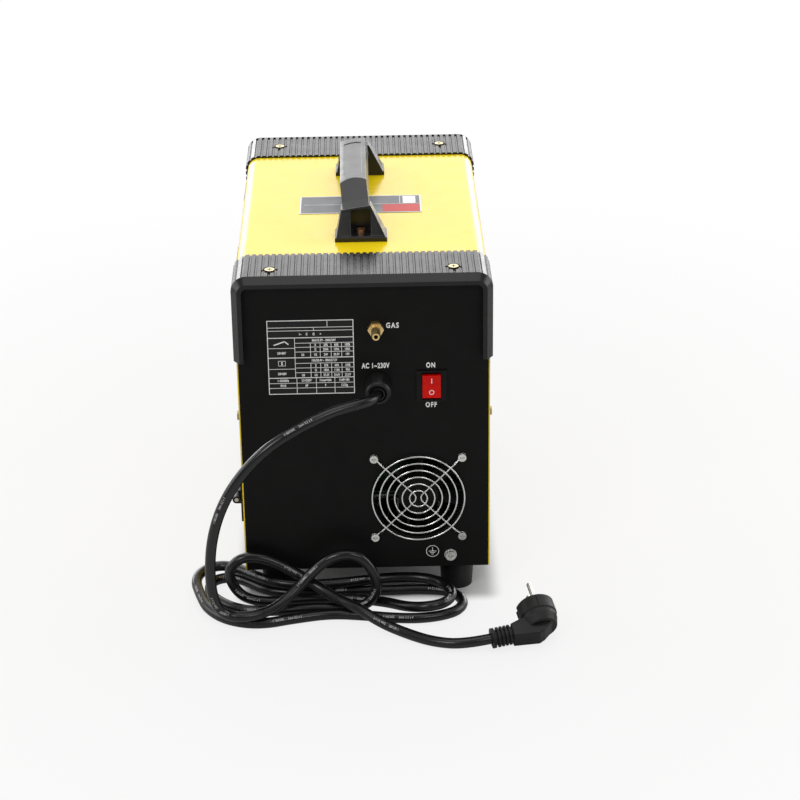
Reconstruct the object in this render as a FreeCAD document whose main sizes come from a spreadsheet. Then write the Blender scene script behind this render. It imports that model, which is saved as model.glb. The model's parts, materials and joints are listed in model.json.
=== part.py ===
"""MIG welding machine: an inverter power source with its wire feeder in one steel case.

Millimetres. +X is to the right as seen from the rear panel, +Y runs to the front panel and +Z is up.
The floor is z = 0 and the origin is the middle of the footprint.
"""
import FreeCAD, Part
import math
import os

import Sketcher
from FreeCAD import Matrix, Placement, Rotation, Vector

os.makedirs("parts", exist_ok=True)
doc = FreeCAD.newDocument("mig_welding_machine")

SIZES = {
    # case
    "body_length": 406,
    "body_width": 232.6,
    "body_height": 297.5,
    "foot_height": 32,
    "cover_wall": 1.2,
    "cover_radius": 12,
    "panel_wall": 1.5,
    "panel_flange_depth": 21,
    "pan_wall": 1.2,
    "pan_flange": 18,
    "wall_left": 22,
    "wall_sheet": 1.2,
    # ribbed plastic trims
    "trim_skin": 1.3,
    "rib_height": 1.2,
    "rib_pitch": 6,
    "rib_crest": 3.4,
    "rib_valley": 1.4,
    "rear_trim_length": 56.4,
    "front_trim_length": 61.2,
    "trim_drop": 80.1,
    "rim_depth": 8,
    "rim_slope": 5.5,
    "rim_land": 4,
    "recess_radius": 7.5,
    "trim_screw_x": 83.5,
    "trim_screw_inset": 15.4,
    "front_screw_inset": 31.2,
    # side door, its hinges and latches
    "door_gap": 1.2,
    "door_inset": 26,
    "door_top": 318,
    "door_step": 246,
    "door_side_margin": 3,
    "door_return": 10,
    "pin_out": 7.7,
    "pin_z": 93,
    "pin_radius": 1.95,
    "pin_play": 0.05,
    "knuckle_radius": 3.8,
    "hinge_length": 40,
    "hinge_inset": 28,
    "hinge_knuckle": 12,
    "leaf_height": 23,
    "leaf_thickness": 3.5,
    "leaf_gap": 1.5,
    "knuckle_gap": 0.4,
    "latch_spread": 190,
    "latch_height": 26,
    "latch_length": 44,
    "latch_proud": 1.2,
    "latch_thumb": 0.9,
    "latch_travel": 6,
    "latch_play": 0.5,
    "tongue_inset": 7,
    # louvres on the right side
    "louvre_out": 5.8,
    "louvre_height": 9,
    "louvre_length": 60,
    "louvre_pitch": 15,
    "louvre_rows": 8,
    "louvre_start_y": 14,
    "louvre_gap": 18,
    "louvre_low": 62,
    # feet
    "foot_x": 86,
    "foot_inset": 28,
    "foot_top_radius": 17,
    "foot_low_radius": 15,
    # carrying handle
    "handle_middle": -3,
    "handle_span": 220,
    "handle_height": 47,
    "handle_foot_width": 49,
    "handle_foot_length": 27,
    "handle_foot_height": 30,
    "grip_width": 25,
    "grip_thickness": 19,
    "grip_length": 120,
    "grip_crown": 2.2,
    "handle_lean": 8.5,
    # rear panel
    "gas_x": 11.7,
    "gas_z": 279.9,
    "gland_x": 12.9,
    "gland_z": 222.9,
    "gland_radius": 12.4,
    "gland_nut_radius": 11.7,
    "gland_length": 22,
    "switch_x": 62.3,
    "switch_z": 220.9,
    "bezel_width": 28,
    "bezel_height": 31,
    "rocker_width": 17,
    "rocker_height": 23.8,
    "rocker_tilt": 14,
    "fan_x": 49,
    "fan_z": 106.6,
    "fan_rim": 4.75,
    "fan_depth": 25,
    "fan_screw_pitch": 82.5,
    "guard_wire": 1.6,
    "guard_rise": 4,
    "guard_ring": 43.45,
    "guard_step": 7.03,
    "guard_rings": 6,
    "guard_bend": 6,
    "earth_x": 79.1,
    "earth_z": 44.7,
    "plate_x": -48,
    "plate_z": 251.8,
    "plate_width": 80,
    "plate_height": 74.5,
    "sticker_y": -8.3,
    "sticker_width": 118.6,
    "sticker_length": 49.8,
    "label_thickness": 0.4,
    "side_screw_inset": 15,
    "side_screw_z": 188,
    # front panel
    "fascia_width": 192,
    "fascia_height": 126,
    "fascia_z": 249,
    "fascia_wall": 1,
    "knob_z": 214,
    "knob_pitch": 62,
    "knob_radius": 12.5,
    "knob_length": 16,
    "button_z": 250,
    "button_x": 30,
    "button_radius": 5,
    "button_travel": 1.5,
    "display_x": 42,
    "display_z": 284,
    "display_width": 56,
    "display_height": 26,
    "wire_x": -62,
    "wire_z": 120,
    # electronics
    "parts_gap": 15,
    "sink_width": 100,
    "sink_length": 140,
    "sink_height": 55,
    "board_wall": 1.6,
    "can_radius": 17.5,
    "can_height": 46,
    "coil_size": 38,
    "core_width": 74,
    "core_length": 58,
    "choke_radius": 32,
    # sockets
    "dinse_z": 72,
    "dinse_x": 51,
    "dinse_pitch": 66,
    "dinse_bore": 6.55,
    "euro_bore": 6.1,
    # wire drive
    "spool_radius": 100,
    "spool_width": 55,
    "spool_bore": 25.5,
    "spool_y": -50,
    "spool_z": 200,
    "hub_play": 0.1,
    "roll_radius": 15,
    "roll_width": 12,
    "roll_y": 100,
    "wire_gap": 0.8,
    "shaft_radius": 4,
    "shaft_play": 0.06,
    "arm_pivot_y": 68,
    "arm_pivot_z": 150,
    "lever_y": 128,
    "lever_z": 116,
    "lever_lean": 50,
    # mains lead
    "cord_diameter": 10,
    "plug_x": 112.5,
    "plug_y": -303.6,
    "plug_z": 9.7,
    "plug_turn": 11.4,
    "plug_rise": 5.5,
    "plug_tilt": 67.6,
    "plug_head_radius": 18,
    "plug_head_x": 48.5,
    "plug_face": 26.5,
    "plug_block_width": 17.8,
    "plug_pin_radius": 2.4,
    "plug_pin_length": 19,
    "plug_pin_pitch": 19,
}

sheet = doc.addObject("Spreadsheet::Sheet", "Sizes")
for row, (alias, number) in enumerate(SIZES.items(), start=1):
    sheet.set(f"A{row}", alias)
    sheet.set(f"B{row}", str(number))
    sheet.setAlias(f"B{row}", alias)
doc.recompute()


def text_of(number):
    """The expression text of a number."""
    return number.text if isinstance(number, Dim) else repr(float(number))


class Dim(float):
    """A number that keeps the sheet expression that it comes from."""

    def __new__(cls, number, text):
        dim = super().__new__(cls, number)
        dim.text = text
        return dim

    def __add__(self, other):
        return Dim(float(self) + float(other), f"({self.text} + {text_of(other)})")

    def __radd__(self, other):
        return Dim(float(other) + float(self), f"({text_of(other)} + {self.text})")

    def __sub__(self, other):
        return Dim(float(self) - float(other), f"({self.text} - {text_of(other)})")

    def __rsub__(self, other):
        return Dim(float(other) - float(self), f"({text_of(other)} - {self.text})")

    def __mul__(self, other):
        return Dim(float(self) * float(other), f"({self.text} * {text_of(other)})")

    def __rmul__(self, other):
        return Dim(float(other) * float(self), f"({text_of(other)} * {self.text})")

    def __truediv__(self, other):
        return Dim(float(self) / float(other), f"({self.text} / {text_of(other)})")

    def __neg__(self):
        return Dim(-float(self), f"(0 - {self.text})")


class Sizes:
    """The sheet's cells by alias."""


size = Sizes()
for alias in SIZES:
    setattr(size, alias, Dim(float(sheet.get(alias)), f"Sizes.{alias}"))

# Places that several pieces share
HALF_LENGTH = size.body_length / 2
HALF_WIDTH = size.body_width / 2
LOW = size.foot_height
TOP = size.foot_height + size.body_height
INNER_X = HALF_WIDTH - size.cover_wall
INNER_TOP = TOP - size.cover_wall
INNER_Y = HALF_LENGTH - size.panel_wall
PAN_TOP = LOW + size.pan_wall
WALL_FACE = -size.wall_left
REAR_SCREW_Y = -HALF_LENGTH + size.trim_screw_inset
FRONT_SCREW_Y = HALF_LENGTH - size.front_screw_inset
TRIM_END = TOP - size.trim_drop
PIN_X = -(HALF_WIDTH + size.pin_out)
DOOR_END = HALF_LENGTH - size.door_inset
ROLL_Z = size.wire_z - size.wire_gap / 2 - size.roll_radius
IDLER_Z = size.wire_z + size.wire_gap / 2 + size.roll_radius

DIRECTIONS = {
    "+X": Rotation(Vector(0, 1, 0), 90),
    "-X": Rotation(Vector(0, 1, 0), -90),
    "+Y": Rotation(Vector(1, 0, 0), -90),
    "-Y": Rotation(Vector(1, 0, 0), 90),
    "+Z": Rotation(),
    "-Z": Rotation(Vector(1, 0, 0), 180),
}
nodes = []


def bind(thing, name, number):
    """Sets a property, through the sheet where the number comes from it."""
    if isinstance(number, Dim):
        thing.setExpression(name, number.text)
    else:
        setattr(thing, name, float(number))


def place(thing, corner, rotation=None):
    """Puts an object at a corner or base point, coordinate by coordinate."""
    thing.Placement = Placement(Vector(*[float(c) for c in corner]), rotation or Rotation())
    for axis, number in zip("xyz", corner):
        if isinstance(number, Dim):
            thing.setExpression(f"Placement.Base.{axis}", number.text)
    return thing


def box(name, x_range, y_range, z_range):
    """A block between two values along each axis."""
    thing = doc.addObject("Part::Box", name)
    for prop, (low, high) in zip(("Length", "Width", "Height"), (x_range, y_range, z_range)):
        bind(thing, prop, high - low)
    return place(thing, (x_range[0], y_range[0], z_range[0]))


def rod(name, direction, base, radius, length):
    """A cylinder that runs from its base point along a direction."""
    thing = doc.addObject("Part::Cylinder", name)
    bind(thing, "Radius", radius)
    bind(thing, "Height", length)
    return place(thing, base, DIRECTIONS[direction])


def cone(name, direction, base, first_radius, last_radius, length):
    """A cone frustum that runs from its base point along a direction."""
    thing = doc.addObject("Part::Cone", name)
    bind(thing, "Radius1", first_radius)
    bind(thing, "Radius2", last_radius)
    bind(thing, "Height", length)
    return place(thing, base, DIRECTIONS[direction])


def fuse(name, things):
    """One solid out of several that meet."""
    thing = doc.addObject("Part::MultiFuse", name)
    thing.Shapes = things
    thing.Refine = True
    return thing


def cut(name, base, tools):
    """A base with tools taken away."""
    thing = doc.addObject("Part::Cut", name)
    thing.Base = base
    thing.Tool = tools[0] if len(tools) == 1 else fuse(name + "_tools", tools)
    return thing


def group(name, things):
    """Separate solids in one node."""
    thing = doc.addObject("Part::Compound", name)
    thing.Links = things
    return thing


def solid(name, shape, placement=None):
    """A shape that neither a primitive nor a sketched feature makes."""
    thing = doc.addObject("Part::Feature", name)
    thing.Shape = shape
    if placement:
        thing.Placement = placement.multiply(shape.Placement)
    return thing


def node(thing, label):
    """Names a finished piece."""
    thing.Label = label
    nodes.append(thing)
    return thing


def add_sketch(body, name, role, offset):
    """A sketch on one of the body's own origin planes, moved along its normal."""
    plane = [f for f in body.Origin.OriginFeatures if f.Role == role][0]
    sketch = body.newObject("Sketcher::SketchObject", name)
    sketch.AttachmentSupport = (plane, [""])
    sketch.MapMode = "FlatFace"
    sketch.AttachmentOffset = Placement(Vector(0, 0, float(offset)), Rotation())
    if isinstance(offset, Dim):
        sketch.setExpression("AttachmentOffset.Base.z", offset.text)
    return sketch


def hold(sketch, geometry, vertex, point):
    """Holds a vertex at its distances from the sketch's origin."""
    for kind, number in zip(("DistanceX", "DistanceY"), point):
        if float(number) == 0:
            axis = -2 if kind == "DistanceX" else -1
            sketch.addConstraint(Sketcher.Constraint("PointOnObject", geometry, vertex, axis))
            continue
        index = sketch.addConstraint(
            Sketcher.Constraint(kind, -1, 1, geometry, vertex, float(number))
        )
        if isinstance(number, Dim):
            sketch.setExpression(f"Constraints[{index}]", number.text)


def outline(sketch, points):
    """Straight lines through the points, closed, each point held in place."""
    first = sketch.GeometryCount
    count = len(points)
    for i in range(count):
        ends = [Vector(float(p[0]), float(p[1]), 0) for p in (points[i], points[(i + 1) % count])]
        sketch.addGeometry(Part.LineSegment(*ends), False)
    for i in range(count):
        following = first + (i + 1) % count
        sketch.addConstraint(Sketcher.Constraint("Coincident", first + i, 2, following, 1))
        hold(sketch, first + i, 1, points[i])


def circle(sketch, centre, radius):
    """A circle whose centre and radius are held."""
    place_of = Vector(float(centre[0]), float(centre[1]), 0)
    index = sketch.addGeometry(Part.Circle(place_of, Vector(0, 0, 1), float(radius)), False)
    hold(sketch, index, 3, centre)
    number = sketch.addConstraint(Sketcher.Constraint("Radius", index, float(radius)))
    if isinstance(radius, Dim):
        sketch.setExpression(f"Constraints[{number}]", radius.text)


def rectangle(sketch, x_range, y_range):
    """An upright rectangle."""
    (x0, x1), (y0, y1) = x_range, y_range
    outline(sketch, [(x0, y0), (x1, y0), (x1, y1), (x0, y1)])


def pad(body, sketch, length, reverse=False):
    """Thickens a sketch along its normal, or against it."""
    feature = body.newObject("PartDesign::Pad", sketch.Name + "_pad")
    feature.Profile = sketch
    bind(feature, "Length", length)
    feature.Reversed = reverse
    body.Tip = feature
    doc.recompute()
    return feature


def pocket(body, sketch, length, reverse=False):
    """Cuts a sketch against its normal, or along it, and makes sure that it cut something."""
    before = body.Shape.Volume
    feature = body.newObject("PartDesign::Pocket", sketch.Name + "_pocket")
    feature.Profile = sketch
    bind(feature, "Length", length)
    feature.Reversed = reverse
    body.Tip = feature
    doc.recompute()
    if not body.Shape.Volume < before - 1:
        raise ValueError(f"{sketch.Name} cuts nothing")
    return feature


def fillet(body, radius, chosen):
    """Rounds the edges of the body's tip that a test picks."""
    base = body.Tip
    names = [f"Edge{i}" for i, edge in enumerate(base.Shape.Edges, 1) if chosen(edge)]
    feature = body.newObject("PartDesign::Fillet", body.Name + "_fillet")
    feature.Base = (base, names)
    bind(feature, "Radius", radius)
    body.Tip = feature
    doc.recompute()
    return feature


def along(edge, axis):
    """Whether a straight edge runs along an axis."""
    if not isinstance(edge.Curve, Part.Line):
        return False
    return edge.Curve.Direction.cross(axis).Length < 1e-6


def screw(name, direction, base, head_radius, head_height, shank_radius, shank_length):
    """A pan-head cross-recess screw: its head stands on base and its shank goes the other way."""
    other = {"+": "-", "-": "+"}[direction[0]] + direction[1]
    head = rod(name + "_head", direction, base, head_radius, head_height)
    shank = rod(name + "_shank", other, base, shank_radius, shank_length)
    whole = fuse(name + "_blank", [head, shank])
    slot_length = head_radius * 1.1
    slot_width = head_radius * 0.22
    slot_depth = head_height * 0.55
    slots = []
    for suffix, (a, b) in (("a", (slot_length, slot_width)), ("b", (slot_width, slot_length))):
        shape = Part.makeBox(a, b, slot_depth + 1, Vector(-a / 2, -b / 2, head_height - slot_depth))
        slots.append(
            solid(
                f"{name}_slot_{suffix}",
                shape,
                Placement(Vector(*[float(c) for c in base]), DIRECTIONS[direction]),
            )
        )
    return cut(name, whole, slots)


def make_base_pan():
    """A folded tray: the machine's floor with an upright flange along each side."""
    body = doc.addObject("PartDesign::Body", "base_pan")
    sketch = add_sketch(body, "pan_profile", "XZ_Plane", -INNER_Y)
    inner = INNER_X - size.pan_wall
    outline(
        sketch,
        [
            (-INNER_X, LOW),
            (INNER_X, LOW),
            (INNER_X, LOW + size.pan_flange),
            (inner, LOW + size.pan_flange),
            (inner, PAN_TOP),
            (-inner, PAN_TOP),
            (-inner, LOW + size.pan_flange),
            (-INNER_X, LOW + size.pan_flange),
        ],
    )
    pad(body, sketch, INNER_Y * 2)
    holes = add_sketch(body, "pan_holes", "XY_Plane", PAN_TOP)
    for sx in (-1, 1):
        for sy in (-1, 1):
            circle(holes, (size.foot_x * sx, (HALF_LENGTH - size.foot_inset) * sy), 2.7)
    pocket(body, holes, size.pan_wall)
    node(body, "base_pan")


def end_panel(label, rear, holes, squares):
    """A flat end panel with its cut-outs, and flanges that turn inwards behind the cover."""
    sign = -1 if rear else 1
    body = doc.addObject("PartDesign::Body", label + "_plate")
    sketch = add_sketch(body, label + "_outline", "XZ_Plane", -HALF_LENGTH * sign)
    rectangle(sketch, (-INNER_X, INNER_X), (LOW, INNER_TOP))
    for centre, radius in holes:
        circle(sketch, centre, radius)
    for x_range, z_range in squares:
        rectangle(sketch, x_range, z_range)
    pad(body, sketch, size.panel_wall, rear)
    corner = size.cover_radius - size.cover_wall
    fillet(
        body,
        corner,
        lambda edge: along(edge, Vector(0, 1, 0))
        and edge.CenterOfMass.z > INNER_TOP - 1
        and abs(edge.CenterOfMass.x) > INNER_X - 1,
    )
    near, far = INNER_Y * sign, (INNER_Y - size.panel_flange_depth) * sign
    y_range = (near, far) if rear else (far, near)
    low, high = LOW + 40, TRIM_END - 5
    inset = size.trim_screw_inset if rear else size.front_screw_inset
    lid_end = (HALF_LENGTH - inset - 6) * sign
    lid_range = (near, lid_end) if rear else (lid_end, near)
    lid_half = size.trim_screw_x + 11.5
    flanges = [
        box(label + "_left", (-INNER_X, -INNER_X + size.cover_wall), y_range, (low, high)),
        box(label + "_right", (INNER_X - size.cover_wall, INNER_X), y_range, (low, high)),
        box(label + "_lid", (-lid_half, lid_half), lid_range, (INNER_TOP - size.cover_wall, INNER_TOP)),
    ]
    plate = fuse(label + "_folded", [body] + flanges)
    drills = []
    for sx in (-1, 1):
        drills.append(
            rod(
                f"{label}_lid_drill_{sx}",
                "+Z",
                (size.trim_screw_x * sx, (HALF_LENGTH - inset) * sign, INNER_TOP - 5),
                2.6,
                10,
            )
        )
        drills.append(
            rod(
                f"{label}_side_drill_{sx}",
                "+X",
                (INNER_X * sx - 5, (HALF_LENGTH - size.side_screw_inset) * sign, size.side_screw_z),
                2.6,
                10,
            )
        )
    node(cut(label, plate, drills), label)


def make_rear_panel():
    half = size.fan_screw_pitch / 2
    holes = [
        ((size.gas_x, size.gas_z), 5),
        ((size.gland_x, size.gland_z), 9),
        ((size.earth_x, size.earth_z), 2.6),
        ((size.fan_x, size.fan_z), size.guard_ring - 1.5),
    ]
    holes += [
        ((size.fan_x + half * sx, size.fan_z + half * sz), 2.2) for sx in (-1, 1) for sz in (-1, 1)
    ]
    inner_width = size.bezel_width / 2 - 1.8
    inner_height = size.bezel_height / 2 - 1.8
    opening = (
        (size.switch_x - inner_width, size.switch_x + inner_width),
        (size.switch_z - inner_height, size.switch_z + inner_height),
    )
    end_panel("rear_panel", True, holes, [opening])


def make_front_panel():
    holes = [((size.wire_x, size.wire_z), 14.3)]
    holes += [((x, size.dinse_z), 13) for x in dinse_places()]
    holes += [((x, size.knob_z), 3.6) for x in knob_places()]
    holes += [((size.button_x * sx, size.button_z), size.button_radius + 0.4) for sx in (-1, 1)]
    end_panel("front_panel", False, holes, [])


def knob_places():
    return [size.knob_pitch * i for i in (-1, 0, 1)]


def dinse_places():
    return [size.dinse_x + size.dinse_pitch * i / 2 for i in (-1, 1)]


def door_outline(margin):
    """The door's outline, which steps in between the trims, grown all round by a margin."""
    low = size.pin_z + 2 - margin
    end = DOOR_END + margin
    rear = -HALF_LENGTH + size.rear_trim_length + size.door_side_margin - margin
    front = HALF_LENGTH - size.front_trim_length - size.door_side_margin + margin
    step = size.door_step + margin
    top = size.door_top + margin
    return [
        (-end, low),
        (end, low),
        (end, step),
        (front, step),
        (front, top),
        (rear, top),
        (rear, step),
        (-end, step),
    ]


def make_cover():
    """The folded steel cover, with the door's opening and pressed louvres."""
    body = doc.addObject("PartDesign::Body", "cover_shell")
    sketch = add_sketch(body, "cover_profile", "XZ_Plane", -HALF_LENGTH)
    outline(
        sketch,
        [
            (-HALF_WIDTH, LOW + 0.5),
            (-HALF_WIDTH, TOP),
            (HALF_WIDTH, TOP),
            (HALF_WIDTH, LOW + 0.5),
            (INNER_X, LOW + 0.5),
            (INNER_X, INNER_TOP),
            (-INNER_X, INNER_TOP),
            (-INNER_X, LOW + 0.5),
        ],
    )
    pad(body, sketch, size.body_length)
    fillet(
        body,
        size.cover_radius - size.cover_wall,
        lambda edge: along(edge, Vector(0, 1, 0)) and abs(edge.CenterOfMass.z - INNER_TOP) < 0.1
        and abs(edge.CenterOfMass.x) > INNER_X - 1,
    )
    fillet(
        body,
        size.cover_radius,
        lambda edge: along(edge, Vector(0, 1, 0)) and edge.CenterOfMass.z > TOP - 0.1,
    )
    opening = add_sketch(body, "door_opening", "YZ_Plane", -INNER_X + 1)
    outline(opening, door_outline(size.door_gap))
    pocket(body, opening, size.cover_wall + 2)
    hoods, hollows = [], []
    for column in range(2):
        start = size.louvre_start_y + (size.louvre_length + size.louvre_gap) * column
        for row in range(int(size.louvre_rows)):
            low = size.louvre_low + size.louvre_pitch * row
            hoods.append(louvre(f"hood_{column}_{row}", start, low, 0))
            hollows.append(louvre(f"slot_{column}_{row}", start, low, size.cover_wall))
    whole = fuse("cover_pressed", [body] + hoods)
    drills = []
    for sx in (-1, 1):
        for name, y in (("rear", REAR_SCREW_Y), ("front", FRONT_SCREW_Y)):
            drills.append(
                rod(f"cover_{name}_{sx}", "+Z", (size.trim_screw_x * sx, y, TOP - 5), 2.6, 10)
            )
        for sy in (-1, 1):
            y = (HALF_LENGTH - size.side_screw_inset) * sy
            drills.append(
                rod(f"side_{sx}_{sy}", "+X", (HALF_WIDTH * sx - 5, y, size.side_screw_z), 2.6, 10)
            )
    for sy in (-1, 1):
        y = size.handle_middle + (size.handle_span / 2 - 14) * sy
        drills.append(rod(f"handle_drill_{sy}", "+Z", (0, y, TOP - 5), 2.6, 10))
    node(cut("cover", whole, hollows + drills), "cover")


def louvre(name, start, low, wall):
    """A hood that opens downwards, or the space under it where wall is the sheet's thickness."""
    sunk = size.cover_wall + 1 if float(wall) else 0.4
    lip = 1 if float(wall) else 0
    wedge = doc.addObject("Part::Wedge", name)
    bind(wedge, "Xmin", HALF_WIDTH - sunk)
    bind(wedge, "Xmax", HALF_WIDTH + size.louvre_out - wall)
    bind(wedge, "X2min", HALF_WIDTH - sunk)
    bind(wedge, "X2max", HALF_WIDTH + 0.6 - wall * 0.5)
    bind(wedge, "Ymin", low - lip)
    bind(wedge, "Ymax", low + size.louvre_height - wall)
    bind(wedge, "Zmin", start + wall)
    bind(wedge, "Zmax", start + size.louvre_length - wall)
    bind(wedge, "Z2min", start + wall)
    bind(wedge, "Z2max", start + size.louvre_length - wall)
    upright = Rotation(Vector(1, 0, 0), 90)
    wedge.Placement = Placement(Vector(), upright)
    mirrored = doc.addObject("Part::Mirroring", name + "_turned")
    mirrored.Source = wedge
    mirrored.Normal = Vector(0, 1, 0)
    return mirrored


def arch_path(spread, rise, drop_to):
    """The trim's inverted U at a distance outside the cover, as a wire that runs left to right."""
    x = float(HALF_WIDTH) + spread
    top = float(TOP) + rise
    radius = float(size.cover_radius) + spread
    k = math.sqrt(0.5)
    left = Vector(-x + radius, 0, top - radius)
    right = Vector(x - radius, 0, top - radius)
    return [
        Part.LineSegment(Vector(-x, 0, drop_to), Vector(-x, 0, top - radius)),
        Part.Arc(
            Vector(-x, 0, top - radius),
            left + Vector(-radius * k, 0, radius * k),
            Vector(-x + radius, 0, top),
        ),
        Part.LineSegment(Vector(-x + radius, 0, top), Vector(x - radius, 0, top)),
        Part.Arc(
            Vector(x - radius, 0, top),
            right + Vector(radius * k, 0, radius * k),
            Vector(x, 0, top - radius),
        ),
        Part.LineSegment(Vector(x, 0, top - radius), Vector(x, 0, drop_to)),
    ]


def ribbed_outline():
    """Points along the trim's outside, with a rib every pitch, and their normals by arc length."""
    skin = float(size.trim_skin)
    path = Part.Wire([c.toShape() for c in arch_path(skin, skin, float(TRIM_END))])
    length = path.Length
    pitch = float(size.rib_pitch)
    count = int(length / pitch)
    margin = (length - (count - 1) * pitch - float(size.rib_crest)) / 2
    flank = (pitch - float(size.rib_crest) - float(size.rib_valley)) / 2
    stations = [(0.0, 0.0)]
    for i in range(count):
        start = margin + i * pitch
        crest = float(size.rib_crest)
        stations += [
            (start - flank, 0.0),
            (start, float(size.rib_height)),
            (start + crest, float(size.rib_height)),
            (start + crest + flank, 0.0),
        ]
    stations.append((length, 0.0))
    return [at_station(path, s, rise) for s, rise in stations]


def at_station(path, distance, rise):
    """The point at a distance along the arch, moved outwards."""
    distance = min(max(distance, 0.0), path.Length)
    for edge in path.OrderedEdges:
        if distance <= edge.Length + 1e-9:
            parameter = edge.getParameterByLength(min(distance, edge.Length))
            point = edge.valueAt(parameter)
            tangent = edge.tangentAt(parameter)
            outward = Vector(-tangent.z, 0, tangent.x)
            return point + outward * rise
        distance -= edge.Length
    return path.OrderedEdges[-1].valueAt(path.OrderedEdges[-1].LastParameter)


def make_trim(label, rear):
    """A ribbed plastic band over the cover, ending in a sloped rim that stands past the panel."""
    end = float(TRIM_END)
    length = float(size.rear_trim_length if rear else size.front_trim_length)
    half = float(HALF_LENGTH)
    start = -half if rear else half - length
    points = ribbed_outline()
    inner = [c.toShape() for c in arch_path(0, 0, end)]
    first, last = inner[0].Vertexes, inner[-1].Vertexes
    outer = Part.makePolygon(points)
    edges = outer.Edges + inner
    edges.append(Part.makeLine(points[0], min(first, key=lambda v: v.Point.z).Point))
    edges.append(Part.makeLine(points[-1], min(last, key=lambda v: v.Point.z).Point))
    face = Part.Face(Part.Wire(Part.__sortEdges__(edges)))
    band = face.extrude(Vector(0, length, 0))
    band.translate(Vector(0, start, 0))
    crest = float(size.trim_skin + size.rib_height)
    slope = float(size.rim_slope)
    land = float(size.rim_land)
    depth = float(size.rim_depth)
    inset = slope + land - crest
    rim_solid = rim(crest, slope, inset, depth, end)
    if rear:
        rim_solid.translate(Vector(0, -half, 0))
    else:
        rim_solid = rim_solid.mirror(Vector(), Vector(0, 1, 0))
        rim_solid.translate(Vector(0, half, 0))
    whole = band.fuse(rim_solid).removeSplitter()
    screw_y = float(REAR_SCREW_Y if rear else FRONT_SCREW_Y)
    for sx in (-1, 1):
        x = float(size.trim_screw_x) * sx
        seat = float(TOP) + 0.6
        well = Part.makeCylinder(float(size.recess_radius), 5, Vector(x, screw_y, seat))
        drill = Part.makeCylinder(2.6, 10, Vector(x, screw_y, seat - 5))
        whole = whole.cut(well.fuse(drill))
    node(solid(label, whole), label)


def rim(crest, slope, inset, depth, end):
    """The rim behind y = 0: it slopes in from the rib crests and is hollow inside."""
    wires = []
    for y, spread in ((0.0, crest), (-depth, crest - slope)):
        outer = arch_path(spread, spread, end)
        inner = arch_path(-inset, -inset, end)
        lines = [c.toShape() for c in outer] + [c.toShape() for c in inner]
        lines.append(Part.makeLine(outer[0].StartPoint, inner[0].StartPoint))
        lines.append(Part.makeLine(outer[-1].EndPoint, inner[-1].EndPoint))
        wire = Part.Wire(Part.__sortEdges__(lines))
        wire.translate(Vector(0, y, 0))
        wires.append(wire)
    return Part.makeLoft(wires, True, True)


def make_side_door():
    """The fold-down door of the wire compartment, a folded tray with slots for the latches."""
    body = doc.addObject("PartDesign::Body", "door_tray")
    sketch = add_sketch(body, "door_face", "YZ_Plane", -HALF_WIDTH)
    outline(sketch, door_outline(0))
    pad(body, sketch, size.door_return)
    hollow = add_sketch(body, "door_hollow", "YZ_Plane", -HALF_WIDTH + size.door_return)
    outline(hollow, door_outline(-size.cover_wall))
    pocket(body, hollow, size.door_return - size.cover_wall)
    tools = []
    for name, y in latch_places():
        play = size.latch_play
        z = size.door_top - 18
        tools.append(
            box(
                f"door_window_{name}",
                (-HALF_WIDTH - 1, -INNER_X + 1),
                (y - 5 - play, y + 5 + play),
                (z - 4 - play, z + 4 + size.latch_travel + play),
            )
        )
        tools.append(
            box(
                f"door_slot_{name}",
                (-INNER_X + size.tongue_inset - play, -INNER_X + size.tongue_inset + 2 + play),
                (y - 9 - play, y + 9 + play),
                (size.door_top - 5, size.door_top + 1),
            )
        )
    node(cut("side_door", body, tools), "side_door")


def latch_places():
    middle = (size.rear_trim_length - size.front_trim_length) / 2
    return [("rear", middle - size.latch_spread / 2), ("front", middle + size.latch_spread / 2)]


def make_latches():
    """Two slide latches: a housing on the door's face and a slider that runs up behind the cover."""
    housings = []
    for name, y in latch_places():
        z = size.door_top - 18
        play = size.latch_play
        face = -HALF_WIDTH - size.latch_proud
        plate = box(
            f"latch_plate_{name}",
            (face, -HALF_WIDTH),
            (y - size.latch_length / 2, y + size.latch_length / 2),
            (z - size.latch_height / 2, z + size.latch_height / 2),
        )
        window = box(
            f"latch_window_{name}",
            (face - 1, -HALF_WIDTH + 1),
            (y - 5 - play, y + 5 + play),
            (z - 4 - play, z + 4 + size.latch_travel + play),
        )
        housings.append(cut(f"latch_housing_{name}", plate, [window]))
        thumb = box(
            f"thumb_{name}",
            (face - 0.3 - size.latch_thumb, face - 0.3),
            (y - 12, y + 12),
            (z - 6, z + 6),
        )
        inside = -INNER_X + size.tongue_inset
        stem = box(f"stem_{name}", (face - 0.3, inside), (y - 5, y + 5), (z - 4, z + 4))
        tongue = box(
            f"tongue_{name}",
            (inside, inside + 2),
            (y - 9, y + 9),
            (z - 6, size.door_top - 0.5),
        )
        slider = fuse(f"slider_{name}", [thumb, stem, tongue])
        node(slider, f"latch_slider_{name}")
    node(group("latch_housings", housings), "latch_housings")


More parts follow.
